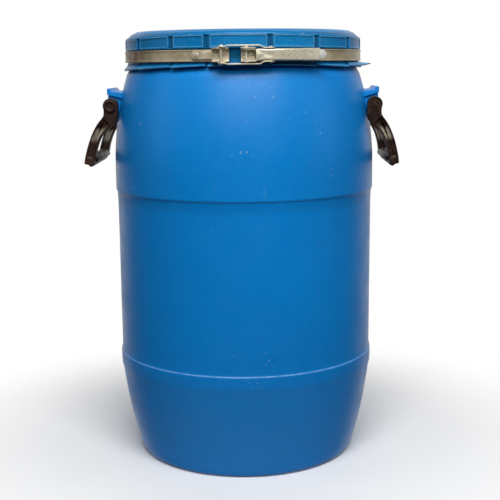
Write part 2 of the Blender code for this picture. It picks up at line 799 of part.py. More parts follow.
def main():
    clear_scene()
    blue = finish_material("drum_blue", BLUE, 0.42, 0.0)
    lid_blue = finish_material("lid_blue", LID_BLUE, 0.45, 0.0)
    zinc = finish_material("zinc_plate", ZINC, 0.38, 0.9)
    steel = finish_material("pin_steel", STEEL, 0.32, 0.95)
    brown = finish_material("handle_plastic", BROWN, 0.45, 0.0)
    foam = finish_material("gasket_foam", FOAM, 0.85, 0.0)

    make_drum_body(blue)
    lid_seat = pivot("lid_seat", (0, 0, RIM_Z))
    make_lid(lid_blue, lid_seat)
    turned("lid_gasket", gasket_outline, foam, parent=lid_seat)

    ring_back = at_angle(180 + LATCH_TURN, RING_R, RING_Z)
    right_pivot = pivot("ring_right_pivot", ring_back, lid_seat)
    left_pivot = pivot("ring_left_pivot", ring_back, right_pivot)
    half_gap = math.degrees(GAP / 2 / RING_R)
    right = make_ring_half("clamp_band_right", RIGHT_RING_END, 180 - half_gap, zinc, right_pivot)
    left = make_ring_half("clamp_band_left", LEFT_RING_END, half_gap - 180, zinc, left_pivot)

    anchor = make_anchor(zinc, left_pivot)
    for name, angle in zip(("outer", "inner"), ANCHOR_RIVET_ANGLES):
        make_band_rivet(f"anchor_rivet_{name}", angle, [anchor, left], steel, left_pivot)
    bracket = make_fulcrum_bracket(zinc, right_pivot)
    for name, angle in zip(("inner", "outer"), FULCRUM_RIVET_ANGLES):
        make_band_rivet(f"fulcrum_rivet_{name}", angle, [bracket, right], steel, right_pivot)

    fulcrum = upright(FULCRUM_ANGLE, FULCRUM_R)
    head, thick = FULCRUM_HEAD
    profile = rivet_profile(RIVET_R, head, -FLANGE_Z[1], FLANGE_Z[1], thick)
    pin("fulcrum_pin", fulcrum, (0, 0, 1), profile, steel, parent=right_pivot)
    lever_pivot = pivot("lever_pivot", fulcrum, right_pivot)
    make_lever(zinc, lever_pivot)

    joint = upright(LINK_RIVET_ANGLE, PIVOT_R)
    link_pivot = pivot("link_pivot", joint, lever_pivot)
    head, thick = LINK_RIVET_HEAD
    low, high = LEVER_HALF - LEVER_SHEET, STRAP_LEVELS[2] + STRAP_THICK
    profile = rivet_profile(RIVET_R, head, low, high, thick)
    for side, word in ((1, "upper"), (-1, "lower")):
        pin(f"link_rivet_{word}", joint, (0, 0, side), profile, steel, parent=lever_pivot)
        make_strap(f"link_strap_{word}", side, zinc, link_pivot)
    head, thick = LINK_PIN_HEAD
    reach = STRAP_LEVELS[0] + STRAP_THICK
    profile = rivet_profile(PIN_R, head, -reach, reach, thick)
    link_foot = upright(LINK_PIN_ANGLE, PIVOT_R)
    pin("link_pin", link_foot, (0, 0, 1), profile, steel, parent=link_pivot)

    for word, side in SIDE.items():
        hinge = pivot(f"handle_{word}_pivot", (side * HINGE_X, 0, HINGE_Z))
        make_handle(word, brown, hinge)
        make_handle_pin(word, brown, hinge)


main()
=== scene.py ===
"""Looks for the open head plastic drum: body, lid, closing ring with its latch, and two handles.

Metres, +Z up, origin at the centre of the base. The latch is at -Y and the handles are at -X and +X.
Angles round the drum are in degrees, from -Y towards +X.
"""

import math
import random

import bmesh
import bpy
from mathutils import Matrix, Vector


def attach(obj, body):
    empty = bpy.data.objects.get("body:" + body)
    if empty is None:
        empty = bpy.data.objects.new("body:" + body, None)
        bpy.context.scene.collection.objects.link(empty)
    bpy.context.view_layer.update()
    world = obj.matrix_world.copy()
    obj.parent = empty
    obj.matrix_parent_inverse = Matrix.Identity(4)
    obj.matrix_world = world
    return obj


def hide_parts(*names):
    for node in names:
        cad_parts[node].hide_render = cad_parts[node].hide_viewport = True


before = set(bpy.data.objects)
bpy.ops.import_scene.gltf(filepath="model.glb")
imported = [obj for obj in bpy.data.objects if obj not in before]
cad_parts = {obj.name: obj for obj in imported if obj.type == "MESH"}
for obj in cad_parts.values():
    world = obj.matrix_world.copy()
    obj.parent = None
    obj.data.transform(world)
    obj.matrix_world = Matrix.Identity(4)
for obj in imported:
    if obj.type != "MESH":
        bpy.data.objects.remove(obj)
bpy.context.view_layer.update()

random.seed(7)

# Drum body
UPPER_R = 0.1945
MIDDLE_R = 0.1920
LOWER_R = 0.1940
UPPER_LINE_Z = 0.4045
LOWER_LINE_Z = 0.1590
SHOULDER_Z = 0.4400
SHOULDER_BEND = 0.4500
SHOULDER_TOP_Z = 0.5750
FOOT_TOP_Z = 0.0120
WALL = 0.0035
BASE_TOP_Z = 0.0060
RIM_Z = 0.6245
MOUTH_R = 0.1580
GAP = 0.0003
BODY_SIDES = 240
WAVY_R = 0.120
WAVY_Z = (0.010, 0.580)
WAVE_ROOM = 0.00020
PARTING_LINE = 0.00022
HOLLOW_Z = (0.480, 0.570)

# Lid
PANEL_R = 0.1745
GROOVE_R = 0.1713
SKIRT_IN_R = 0.1690
CHANNEL_Z = 0.6285
STRIP_DEPTH = 0.0016
SLIT_WIDTH = 0.0030
FRONT_STRIPS = (-82.4, -57.5, -34.2, -16.1, 12.4, 35.6, 58.5, 82.4)
BACK_STRIPS = 7
FLARED_STRIPS = (58.5, 82.4)
FLARE = 0.0155
FLARE_LIFT = 0.0045
EDGE_SAG = 0.0050
SKIRT_TOP_Z = 0.5900
SKIRT_MIDDLE_R = 0.1765
SKIRT_FOOT_R = 0.1738
SKIRT_FOOT_Z = 0.5870
SKIRT_DROP = (0.0055, 0.0013)
PANEL_ROWS = (
    0.6292, 0.6286, 0.6281, 0.6272, 0.6265, 0.6257, 0.6246, 0.6200,
    0.6160, 0.6148, 0.6140, 0.6132, 0.6124, 0.6116, 0.6110,
)
COLUMN_MM = (1.0, 1.4, 3.8, 4.2, 4.8, 5.1, 5.9, 6.7, 7.5)
COLUMN_TURN = 1.3
PANEL_Z = (0.6116, 0.6284)
PANEL_SINK = 0.0009
BORDER_SINK = 0.00025
WALL_FOOT_Z = 0.6110
WALL_TOP_Z = 0.6292
CROWN_R = 0.1600
FOOT_SAG = 0.3
SEGMENT_LEAN = 0.0018
SEGMENT_DROP = 0.0007
SLIT_Z = (0.5800, 0.5925)
FLARED_Z = (0.5800, 0.5918)
FLARED_SPACE_R = 0.1695

# Closing ring and latch
LATCH_TURN = 0.94
RING_Z = 0.6003
RING_R = 0.1755
RING_HALF = 0.0080
RING_SHEET = 0.0010
RING_LEG_R = 0.1722
LEFT_RING_END = -5.8
RIGHT_RING_END = -0.6
LATCH_Z = RING_Z + 0.0008
PLATE = 0.0015
BRACKET_R = RING_R + GAP
FLANGE_Z = (0.0080, 0.0095)
FLANGE_R = 0.1890
TAIL_HALF = 0.0058
TAIL_ANGLES = (-22.8, -13.4)
TAIL_BEAD = (-16.6, 2.2, 0.0004)
ANCHOR_REACH = (
    (-13.4, 0.1790), (-13.1, 0.1800), (-12.6, 0.1822), (-12.0, 0.1848), (-11.4, 0.1872), (-10.9, 0.1885),
    (-10.4, FLANGE_R), (-9.0, FLANGE_R), (-7.5, FLANGE_R), (-6.3, FLANGE_R),
    (-5.95, FLANGE_R - 0.0003), (-5.8, FLANGE_R - 0.0010),
)
PIN_R = 0.0015
RIVET_R = 0.0016
PIVOT_R = 0.1845
LINK_PIN_ANGLE = -8.8
LINK_RIVET_ANGLE = 11.9
FULCRUM_ANGLE = 1.6
FULCRUM_R = 0.1840
FULCRUM_END = 5.5
LEVER_ANGLES = (5.6, 33.7)
LEVER_TAB_ANGLE = 36.7
LEVER_CREASE = ((5.8, 6.6), (9.4, 0.6))
MM_PER_DEGREE = 3.29
LEVER_WAIST = 11.0
LEVER_WAIST_END = 16.0
LEVER_DENT = 29.3
LEVER_CORNER = 0.0017
LEVER_TAB_HALF = 0.0062
LEVER_TAB_RISE = 0.0024
LEVER_R = 0.1885
LEVER_CHEEK_R = 0.1795
LEVER_HALF = 0.0077
LEVER_END_HALF = 0.0084
LEVER_SHEET = 0.0012
STRAP_THICK = 0.0017
STRAP_HALF = 0.0050
STRAP_LEVELS = (0.0099, 0.0113, 0.0081)
STRAP_JOGGLES = (0.0040, 0.0080, 0.0510, 0.0580)
SLOT_LEFT = 0.0021
SLOT_RIGHT = 0.0076
BORE_REACH = 0.013
BAND_RIVETS = {
    "anchor_outer": (-20.4, "ring_left"), "anchor_inner": (-11.2, "ring_left"),
    "fulcrum_inner": (0.9, "ring_right"), "fulcrum_outer": (3.9, "ring_right"),
}
SLANTING_RIVET = "anchor_inner"

# Handles
HINGE_X = 0.1910
HINGE_Z = 0.5310
HUB_R = 0.0108
ARM_Y = (0.0582, 0.0742)
HUB_Y = (0.0572, 0.0752)
LUG_Y = 0.0390
LUG_ROOT_X = 0.1660
LUG_END_X = 0.1990
CAP_Y = 0.0425
CAP_END_X = 0.1998
CAP_UNDER_Z = 0.5439
CAP_SLOPE = 0.272
COLLAR_R = 0.0072
SIDE = {"left": -1, "right": 1}
HANG = {"left": 0.0, "right": -3.2}
HANDLE_PIN_R = 0.0035
ARM_PATH = (
    (0.0002, 0.0040, 0.0100),
    (0.0002, -0.0150, 0.0100),
    (0.0050, -0.0225, 0.0094),
    (0.0140, -0.0310, 0.0076),
    (0.0222, -0.0445, 0.0068),
    (0.0280, -0.0600, 0.0068),
    (0.0320, -0.0760, 0.0072),
    (0.0346, -0.0850, 0.0060),
)
GRIP_CENTRE = (0.0312, -0.0790)
GRIP_R = (0.0085, 0.0062)
GRIP_CORE = (0.0320, -0.0845)
GRIP_CORE_R = 0.0042
POCKET_DEPTH = 0.0028
POCKET_EDGE = 0.0018

# Camera
CAMERA_PLACE = (0.03366, -1.57390, 0.58681)
CAMERA_TURN = 0.94
CAMERA_PITCH = 10.1285
CAMERA_ROLL = -0.5202
LENS = 74.33
SENSOR = 36.0

# Stage
FLOOR_FADE = (0.19, 0.62)
FLOOR_RINGS = (0.2, 0.35, 0.5, 0.65)
FLOOR_SIDES = 96
WORLD_FRONT = 0.035
LIGHTS = {  # place, target, size and watts
    "key": ((0.15, -1.45, 2.25), (0, 0, 0.30), (1.6, 0.9), 52),
    "front": ((0.20, -2.05, 1.62), (0, -0.1, 0.52), (2.4, 0.55), 13),
    "left": ((-2.3, -0.6, 1.3), (0, 0, 0.35), (1.2, 1.6), 4),
    "right": ((2.3, -0.6, 1.2), (0, 0, 0.35), (1.2, 1.6), 4),
}

# Wear, dust, stains and painted light and shade: where each starts, where it is full, and where it ends
PANEL_BAND = (0.6085, 0.6105, 0.6300, 0.6320)
STAIN_BAND = (0.6230, 0.6250, 0.6300, 0.6315)
UPPER_LINE_BAND = (0.3830, 0.3960, 0.4005, 0.4030)
LOWER_LINE_BAND = (0.1585, 0.1594, 0.1600, 0.1608)
FOOT_SHADE = (0.02, 0.36)
ARM_HOLLOW = (0.0586, 0.0592, 0.0729, 0.0739)
ARM_DUST_AND_SHEEN = (0.4770, 0.4860, 0.4930, 0.5010)
ARM_DUST_AND_SHEEN_STEP = 0.0095
BAND_DARKER_SIDE = (-0.165, -0.105)
LEVER_TIP_HIGHLIGHT = (0.1069, 0.1074)


# ---------------------------------------------------------------- meshes


def add_to_scene(name, data):
    item = bpy.data.objects.new(name, data)
    bpy.context.scene.collection.objects.link(item)
    return item


def make_object(name, points, faces):
    """A mesh object with doubled points merged and its faces turned outwards."""
    mesh = bpy.data.meshes.new(name)
    mesh.from_pydata([tuple(point) for point in points], [], faces)
    shape = bmesh.new()
    shape.from_mesh(mesh)
    bmesh.ops.remove_doubles(shape, verts=shape.verts, dist=1e-6)
    bmesh.ops.recalc_face_normals(shape, faces=shape.faces)
    shape.to_mesh(mesh)
    shape.free()
    return add_to_scene(name, mesh)


def apply_modifiers(item):
    """Replaces the item's mesh with its modified mesh."""
    bpy.context.view_layer.update()
    graph = bpy.context.evaluated_depsgraph_get()
    mesh = bpy.data.meshes.new_from_object(item.evaluated_get(graph))
    item.modifiers.clear()
    old = item.data
    item.data = mesh
    bpy.data.meshes.remove(old)
    return item


def split_faces(item):
    """Splits the faces of many corners, so that no cut leaves a hole inside one face."""
    mesh = bmesh.new()
    mesh.from_mesh(item.data)
    wide = [face for face in mesh.faces if len(face.verts) > 4]
    bmesh.ops.triangulate(mesh, faces=wide, ngon_method="BEAUTY")
    mesh.to_mesh(item.data)
    mesh.free()


def combine(item, tools, operation):
    """Joins the tools to the item or cuts them from it, and removes them."""
    for piece in [item, *tools]:
        split_faces(piece)
    for tool in tools:
        modifier = item.modifiers.new("combine", "BOOLEAN")
        modifier.operation = operation
        modifier.solver = "MANIFOLD"
        modifier.object = tool
    apply_modifiers(item)
    for tool in tools:
        bpy.data.objects.remove(tool, do_unlink=True)
    return item


def cut(item, *tools):
    return combine(item, tools, "DIFFERENCE")


def join(item, *tools):
    return combine(item, tools, "UNION")


def soften(item, width, segments=2, angle=50):
    modifier = item.modifiers.new("soften", "BEVEL")
    modifier.width = width
    modifier.segments = segments
    modifier.limit_method = "ANGLE"
    modifier.angle_limit = math.radians(angle)
    modifier.use_clamp_overlap = True
    return apply_modifiers(item)


def loft(name, sections, ring=False):
    """Joins equal sections in order, capped at both ends unless they close into a ring."""
    count = len(sections[0])
    points = [point for section in sections for point in section]
    faces = []
    for first in range(len(sections) if ring else len(sections) - 1):
        second = (first + 1) % len(sections)
        for corner in range(count):
            after = (corner + 1) % count
            low, high = first * count, second * count
            faces.append((low + corner, low + after, high + after, high + corner))
    if not ring:
        last = (len(sections) - 1) * count
        faces.append(tuple(range(count))[::-1])
        faces.append(tuple(last + corner for corner in range(count)))
    return make_object(name, points, faces)


def at_angle(angle, radius, z):
    turn = math.radians(angle)
    return Vector((radius * math.sin(turn), -radius * math.cos(turn), z))


def steps(start, end, count):
    return [start + (end - start) * step / count for step in range(count + 1)]


def arc(centre, radius, start, end, count):
    points = []
    for angle in steps(start, end, count):
        turn = math.radians(angle)
        points.append((centre[0] + radius * math.cos(turn), centre[1] + radius * math.sin(turn)))
    return points


def turned(name, profile, angles, relief=lambda angle, radius, z: (radius, z)):
    """Turns a closed (radius, height) outline round the drum's axis; relief moves each point."""
    sections = [[at_angle(angle, *relief(angle, *point)) for point in profile] for angle in angles]
    return loft(name, sections, ring=True)


def swept(name, stations, base=LATCH_Z):
    """Joins (angle, outline) stations round the latch's side, with heights from the base level."""
    sections = []
    for angle, outline in stations:
        sections.append([at_angle(angle + LATCH_TURN, r, base + z) for r, z in outline])
    return loft(name, sections)


def rounded(points, radius, count=3, closed=True, every=False):
    """The outline with its corners rounded; those that barely turn are left, unless every is set."""
    result = []
    total = len(points)
    for index, here in enumerate(points):
        here = Vector(here)
        if not closed and index in (0, total - 1):
            result.append(tuple(here))
            continue
        before = Vector(points[index - 1]) - here
        after = Vector(points[(index + 1) % total]) - here
        if before.length < 1e-7 or after.length < 1e-7:
            continue
        inside = before.angle(after)
        if not every and inside > math.radians(170):
            result.append(tuple(here))
            continue
        reach = min(radius / math.tan(inside / 2), 0.45 * before.length, 0.45 * after.length)
        start = here + before.normalized() * reach
        end = here + after.normalized() * reach
        for share in steps(0, 1, count):
            point = start * (1 - share) ** 2 + here * 2 * share * (1 - share) + end * share**2
            result.append(tuple(point))
    return result


def oblong(across, up):
    """A rectangle's outline from its two ends across and its two ends up."""
    (left, right), (low, high) = across, up
    return [(left, low), (right, low), (right, high), (left, high)]


def pin(name, foot, direction, profile, sides=40):
    """Turns a (radius, height) outline about an axis from the foot point along the direction."""
    turn = Vector((0, 0, 1)).rotation_difference(Vector(direction)).to_matrix().to_4x4()
    place = Matrix.Translation(Vector(foot)) @ turn
    sections = []
    for side in range(sides):
        x, y = math.cos(2 * math.pi * side / sides), math.sin(2 * math.pi * side / sides)
        sections.append([place @ Vector((r * x, r * y, z)) for r, z in profile])
    return loft(name, sections, ring=True)


def rod(name, foot, direction, radius, low, high, sides=40):
    return pin(name, foot, direction, oblong((0, radius), (low, high)), sides)


def bore(foot, radius, reach, direction=(0, 0, 1)):
    """A cutter for the hole round a pin, reaching as far on both sides of the foot point."""
    return rod("bore", foot, direction, radius + GAP, -reach, reach)


def rivet_profile(shank, head, low, high, thick):
    """A rivet with a formed head below and a domed head above."""
    outline = [(0, low - GAP - thick * 0.75), (head * 0.45, low - GAP - thick * 0.8)]
    outline += [(head * 0.75, low - GAP - thick), (head, low - GAP - thick * 0.5), (head, low - GAP)]
    outline += [(shank, low - GAP), (shank, high + GAP), (head, high + GAP)]
    top = high + GAP + thick * 0.25
    for angle in steps(0, 90, 6):
        turn = math.radians(angle)
        outline.append((head * math.cos(turn), top + thick * 0.9 * math.sin(turn)))
    return outline


def block(name, angle, radii, heights, width):
    """A cutter whose width runs round the drum at the given angle."""
    turn = Matrix.Rotation(math.radians(angle), 3, "Z")
    outline = oblong(radii, heights)
    sections = [[turn @ Vector((x, -r, z)) for r, z in outline] for x in (-width / 2, width / 2)]
    return loft(name, sections)


def merged(name, items):
    """Joins separate closed bodies, which don't touch, into one tool."""
    points, faces = [], []
    for item in items:
        base = len(points)
        points += [vertex.co.copy() for vertex in item.data.vertices]
        faces += [tuple(base + corner for corner in face.vertices) for face in item.data.polygons]
        bpy.data.objects.remove(item, do_unlink=True)
    return make_object(name, points, faces)


def finish(item, body, material, nodes, sharp=32):
    """Gives the piece its material, smooth shading and body, and hides the CAD nodes it stands for."""
    item.data.materials.clear()
    item.data.materials.append(material)
    item.data.shade_smooth()
    item.data.set_sharp_from_angle(angle=math.radians(sharp))
    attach(item, body)
    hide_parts(*nodes)
    return item


# ---------------------------------------------------------------- drum body


def smooth_bump(value, centre, width):
    """One at the centre, falling smoothly to nothing at width from it."""
    away = abs(value - centre) / width
    return 0.0 if away >= 1 else (1 - away * away) ** 2


def lower_radius(z):
    drop = LOWER_LINE_Z - 0.003 - z
    return LOWER_R - 0.076 * drop - 0.752 * drop * drop


def shoulder_radius(z):
    rise = z - SHOULDER_Z
    return UPPER_R - SHOULDER_BEND + math.sqrt(SHOULDER_BEND**2 - rise * rise)


def outer_points():
    """The outer side from the rim to the middle of the base."""
    points = [(0.1595, RIM_Z), (0.1645, RIM_Z), (0.1675, 0.6205), (0.1675, 0.6115)]
    points += [(0.1630, 0.6080), (0.1630, 0.5930), (0.1645, 0.5882), (0.1690, 0.5828)]
    points = rounded(points, 0.0022, 4, closed=False)
    points += [(shoulder_radius(z), z) for z in steps(SHOULDER_TOP_Z, SHOULDER_Z, 26)]
    points += [(UPPER_R, z) for z in (0.4320, 0.4240, 0.4160, 0.4100, 0.4075)]
    points += [(0.19445, 0.4065), (0.19425, 0.4054), (0.19380, 0.4046), (0.19325, 0.4038)]
    points += [(0.19290, 0.4028), (0.19270, 0.4015), (0.19255, 0.3990), (0.19238, 0.3950)]
    points += [(0.19222, 0.3900), (0.19210, 0.3840), (0.19202, 0.3780), (MIDDLE_R, 0.3700)]
    points += [(MIDDLE_R, z) for z in steps(0.3550, 0.1750, 12)]
    points += [(0.19200, 0.1690), (0.19210, 0.1650), (0.19225, 0.1625), (0.19255, 0.1610)]
    points += [(0.19300, 0.1600), (0.19345, 0.1592), (0.19375, 0.1580), (0.19392, 0.1558), (0.19400, 0.1520)]
    points += [(0.19385, 0.1440), (0.19345, 0.1380), (lower_radius(0.130), 0.130)]
    points += [(lower_radius(z), z) for z in steps(0.124, FOOT_TOP_Z, 14)]
    points += [(0.1655, 0.0080), (0.1640, 0.0050), (0.1620, 0.0028), (0.1590, 0.0010), (0.1560, 0.0002)]
    foot = [(0.1540, 0), (0.1400, 0), (0.1380, 0.0020), (0.0570, 0.0020), (0.0550, 0), (0, 0)]
    return points + rounded(foot, 0.0012, 3, closed=False)


def inner_points():
    """The inside, from the middle of the base up to the mouth."""
    points = [(0, BASE_TOP_Z), (0.1500, BASE_TOP_Z), (0.1560, BASE_TOP_Z + 0.0020)]
    points += [(lower_radius(z) - WALL, z) for z in steps(0.020, 0.120, 8)]
    points += [(MIDDLE_R - WALL - 0.0006, LOWER_LINE_Z)]
    points += [(MIDDLE_R - WALL, z) for z in steps(0.1750, UPPER_LINE_Z - 0.0080, 6)]
    points += [(shoulder_radius(z) - WALL, z) for z in steps(SHOULDER_Z, SHOULDER_TOP_Z - 0.004, 14)]
    mouth = [(0.1640, 0.5830), (MOUTH_R, 0.5950), (MOUTH_R, RIM_Z - 0.0012)]
    points += rounded(mouth, 0.0040, 4, closed=False)
    return points


def body_relief(angle, radius, z):
    """Slow waves of the blown wall, and the mould's parting line under each handle."""
    low, high = WAVY_Z
    if radius < WAVY_R or z > high or z < low:
        return radius, z
    turn = math.radians(angle)
    calm = min(1.0, (high - z) / 0.050, (z - low) / 0.040)
    wave = math.sin(2 * turn + 9 * z) * 0.00012 + math.sin(5 * turn - 21 * z + 1.3) * 0.00007
    wave += math.sin(9 * turn + 34 * z + 0.4) * 0.00004
    side = (angle % 180) - 90
    line = smooth_bump(side, 0, 0.5) * PARTING_LINE
    return radius + wave * calm - WAVE_ROOM + line * calm, z


def body_angles():
    angles = set(round(360 * side / BODY_SIDES, 4) for side in range(BODY_SIDES))
    for middle in (90, 270):
        angles.update(round(middle + offset, 4) for offset in (-0.5, -0.3, -0.15, 0.15, 0.3, 0.5))
    return sorted(angles)


def inset(outline, amount):
    """Moves each corner of a closed outline inwards."""
    area = 0.0
    for index, (x, y) in enumerate(outline):
        after = outline[(index + 1) % len(outline)]
        area += x * after[1] - after[0] * y
    sign = 1 if area > 0 else -1
    moved = []
    for index, here in enumerate(outline):
        before = Vector(here) - Vector(outline[index - 1])
        after = Vector(outline[(index + 1) % len(outline)]) - Vector(here)
        one = Vector((-before.y, before.x)).normalized()
        both = one + Vector((-after.y, after.x)).normalized()
        if both.length < 1e-6:
            moved.append(tuple(here))
            continue
        both.normalize()
        share = max(0.5, both.dot(one))
        moved.append(tuple(Vector(here) + both * (sign * amount / share)))
    return moved


def slab(name, outline, low, high, edge, place):
    """An outline pushed from low to high, with rounded rims; place(x, z, height) gives a point."""
    sections = []
    stages = ((0.0, 1.0), (0.12, 0.5), (0.5, 0.13), (1.0, 0.0))
    for share, shrink in stages:
        sections.append([place(x, z, low + edge * share) for x, z in inset(outline, edge * shrink)])
    for share, shrink in stages[::-1]:
        sections.append([place(x, z, high - edge * share) for x, z in inset(outline, edge * shrink)])
    return loft(name, sections)


def cap_under(x):
    """The height of the cap's sloping underside."""
    return CAP_UNDER_Z + CAP_SLOPE * (x - HINGE_X)


def make_lug(side):
    """The block that carries a handle's pin, and the sloping cap over it."""

    def place(x, z, y):
        return Vector((side * x, y, z))

    root = LUG_ROOT_X
    foot = [(root, 0.5030), (0.1835, 0.5030), (LUG_END_X, 0.5195)]
    foot += [(LUG_END_X, cap_under(LUG_END_X) + 0.0008), (root, cap_under(root) + 0.0008)]
    cap = [(root, cap_under(root)), (CAP_END_X, cap_under(CAP_END_X)), (CAP_END_X, 0.5545)]
    cap += [(0.1985, 0.5555), (0.1962, 0.5553), (0.1930, 0.5512), (root, 0.5483)]
    body = slab("lug_block", rounded(foot, 0.0030, 4), -LUG_Y, LUG_Y, 0.0010, place)
    top = slab("lug_cap", rounded(cap, 0.0010, 3), -CAP_Y, CAP_Y, 0.0008, place)
    return join(body, top)


def make_body(material):
    body = turned("drum", outer_points() + inner_points(), body_angles(), body_relief)
    low, high = HOLLOW_Z
    inside = [(0, low), (shoulder_radius(low) - 0.0020, low)]
    inside += [(shoulder_radius(z) - 0.0020, z) for z in steps(low + 0.010, high, 8)]
    inside += [(0, high)]
    lugs = []
    for side in (-1, 1):
        lug = make_lug(side)
        hollow = turned("lug_hollow", inside, steps(0, 360 - 3, 119))
        cut(lug, hollow)
        cut(lug, bore((side * HINGE_X, 0, HINGE_Z), HANDLE_PIN_R, 0.050, (0, 1, 0)))
        lugs.append(lug)
    join(body, *lugs)
    return finish(body, "drum", material, ["drum_body"], 40)


# ---------------------------------------------------------------- lid


def strip_angles():
    first, last = FRONT_STRIPS[-1], 360 + FRONT_STRIPS[0]
    pitch = (last - first) / (BACK_STRIPS + 1)
    return list(FRONT_STRIPS) + [first + pitch * (number + 1) for number in range(BACK_STRIPS)]


def sideways(angle):
    return math.sin(math.radians(angle)) ** 2


def skirt_foot(angle):
    """The skirt's lower edge hangs further down at the sides, most of all on the left."""
    drop, lean = SKIRT_DROP
    return SKIRT_FOOT_Z - drop * sideways(angle) + lean * math.sin(math.radians(angle))


def lid_profile():
    """The lid's outline at its front, from the middle of the well to the underside."""
    well = [(0, 0.6200), (0.0440, 0.6200), (0.0455, 0.6180), (0.0505, 0.6180), (0.0520, 0.6195)]
    well += [(0.1160, 0.6195), (0.1175, 0.6180), (0.1215, 0.6180), (0.1235, 0.6200), (0.1370, 0.6200)]
    well += [(0.1390, 0.6180), (0.1450, 0.6180), (0.1480, 0.6335), (0.1505, 0.6360), (0.1580, 0.6360)]
    well += [(0.1645, 0.6351), (0.1700, 0.6332), (0.1738, 0.6306), (PANEL_R, 0.6292)]
    outline = rounded(well, 0.0016, 3, closed=False)[:-1]
    outline += [(PANEL_R, z) for z in PANEL_ROWS]
    lower = [(PANEL_R - 0.0004, 0.6106), (GROOVE_R, 0.6098), (GROOVE_R, 0.5912), (0.1716, SKIRT_TOP_Z)]
    lower += [(0.1732, 0.5890), (SKIRT_MIDDLE_R, 0.5879), (SKIRT_FOOT_R + 0.0008, SKIRT_FOOT_Z)]
    lower += [(0.1722, SKIRT_FOOT_Z + 0.0008), (0.1700, SKIRT_TOP_Z - 0.0008), (SKIRT_IN_R, SKIRT_TOP_Z)]
    lower += [(SKIRT_IN_R, CHANNEL_Z - 0.0015), (0.1672, CHANNEL_Z), (0.1540, CHANNEL_Z)]
    lower += [(0.1530, 0.6180), (0.1485, 0.6150), (0, 0.6150)]
    return outline + rounded(lower, 0.0005, 2, closed=False)


def lid_columns(strips):
    """Angles of the lid's grid: close together at each strip's edges, wider across the panels."""
    angles = []
    per_mm = math.degrees(0.001 / PANEL_R)
    offsets = [-x for x in COLUMN_MM[::-1]] + list(COLUMN_MM)
    for index, strip in enumerate(strips):
        after = strips[(index + 1) % len(strips)]
        if after < strip:
            after += 360
        angles += [strip + offset * per_mm for offset in offsets]
        start, end = strip + offsets[-1] * per_mm, after + offsets[0] * per_mm
        angles += steps(start, end, round((end - start) / COLUMN_TURN))[1:-1]
    return angles


def panel_depth(mm, z):
    """How deep the lid's wall lies, from the distance to the nearest strip and the height."""
    low, top = PANEL_Z
    if mm < 4.0 and z < top + 0.0001:
        return STRIP_DEPTH + (0.0010 if mm < 1.2 else 0.0)
    border = min(mm - 4.0, (top + 0.0006 - z) * 1000, (z - low + 0.0004) * 1000)
    if border < 0.9:
        return BORDER_SINK
    if border < 1.9:
        return 0.0
    return min(1.0, (border - 1.9) / 0.8) * PANEL_SINK


def make_lid(material):
    strips = [angle + LATCH_TURN for angle in strip_angles()]
    lean = [random.uniform(0.0000, 0.0010) for _ in strips]

    def skirt_point(angle, radius, z, away):
        """Each segment leans out and drops a little more towards its far end."""
        panel = min((turn % 360, index) for index, turn in enumerate(away))[1]
        depth = (SKIRT_TOP_Z - z) / (SKIRT_TOP_Z - SKIRT_FOOT_Z)
        width = (strips[(panel + 1) % len(strips)] - strips[panel]) % 360
        along = (away[panel] % 360) / width
        far = along if math.sin(math.radians(angle)) > 0 else 1 - along
        out = (lean[panel] + SEGMENT_LEAN * far) * depth * depth
        drop = skirt_foot(angle) - SKIRT_FOOT_Z - SEGMENT_DROP * far
        return radius + out, z + drop * min(1.0, depth)

    def relief(angle, radius, z):
        away = [(angle - strip + 180) % 360 - 180 for strip in strips]
        sag = EDGE_SAG * sideways(angle)
        if z < SKIRT_TOP_Z - 0.0002 and radius > SKIRT_IN_R + 0.0003:
            return skirt_point(angle, radius, z, away)
        if radius > PANEL_R - 1e-6 and WALL_FOOT_Z - 0.0001 < z < WALL_TOP_Z + 0.0001:
            mm = abs(min(away, key=abs)) * math.radians(1) * PANEL_R * 1000
            down = FOOT_SAG + (1 - FOOT_SAG) * (z - WALL_FOOT_Z) / (WALL_TOP_Z - WALL_FOOT_Z)
            return radius - panel_depth(mm, z), z - sag * down
        if radius > CROWN_R and z > WALL_TOP_Z + 0.0001:
            return radius, z - sag * min(1.0, (radius - CROWN_R) / 0.0100)
        if radius > GROOVE_R - 1e-6 and 0.6090 < z < WALL_FOOT_Z + 0.0001:
            return radius, z - sag * FOOT_SAG
        return radius, z

    lid = turned("lid_shell", lid_profile(), lid_columns(strips), relief)
    slits = [block("slit", strip, (0.1600, 0.1800), SLIT_Z, SLIT_WIDTH) for strip in strips]
    cut(lid, merged("slits", slits))
    middle = sum(FLARED_STRIPS) / 2 + LATCH_TURN
    width = 2 * FLARED_SPACE_R * math.sin(math.radians((FLARED_STRIPS[1] - FLARED_STRIPS[0]) / 2))
    cut(lid, block("flared_space", middle, (0.1500, 0.1850), FLARED_Z, width))
    join(lid, flared_segment())
    return finish(lid, "lid", material, ["lid"], 30)


def flared_segment():
    """The bent-out foot of one skirt segment, which leans further out towards its far end."""
    first, last = FLARED_STRIPS
    half_slit = math.degrees(SLIT_WIDTH / 2 / PANEL_R)
    inner, root = SKIRT_IN_R + 0.0004, GROOVE_R - 0.0002
    stations = []
    for angle in steps(first + half_slit, last - half_slit, 28):
        share = ((angle - first) / (last - first)) ** 2
        out = FLARE * share
        foot = skirt_foot(angle) + FLARE_LIFT * share
        outline = [(inner, 0.5940), (root, 0.5940), (root, 0.5914), (PANEL_R + out * 0.35, SKIRT_TOP_Z)]
        outline += [(SKIRT_MIDDLE_R + out, foot + 0.0020), (SKIRT_FOOT_R + out, foot)]
        outline.append((inner + out * 0.25, 0.5880))
        stations.append((angle, rounded(outline, 0.0006, 2, every=True)))
    return swept("flared_segment", stations, 0)


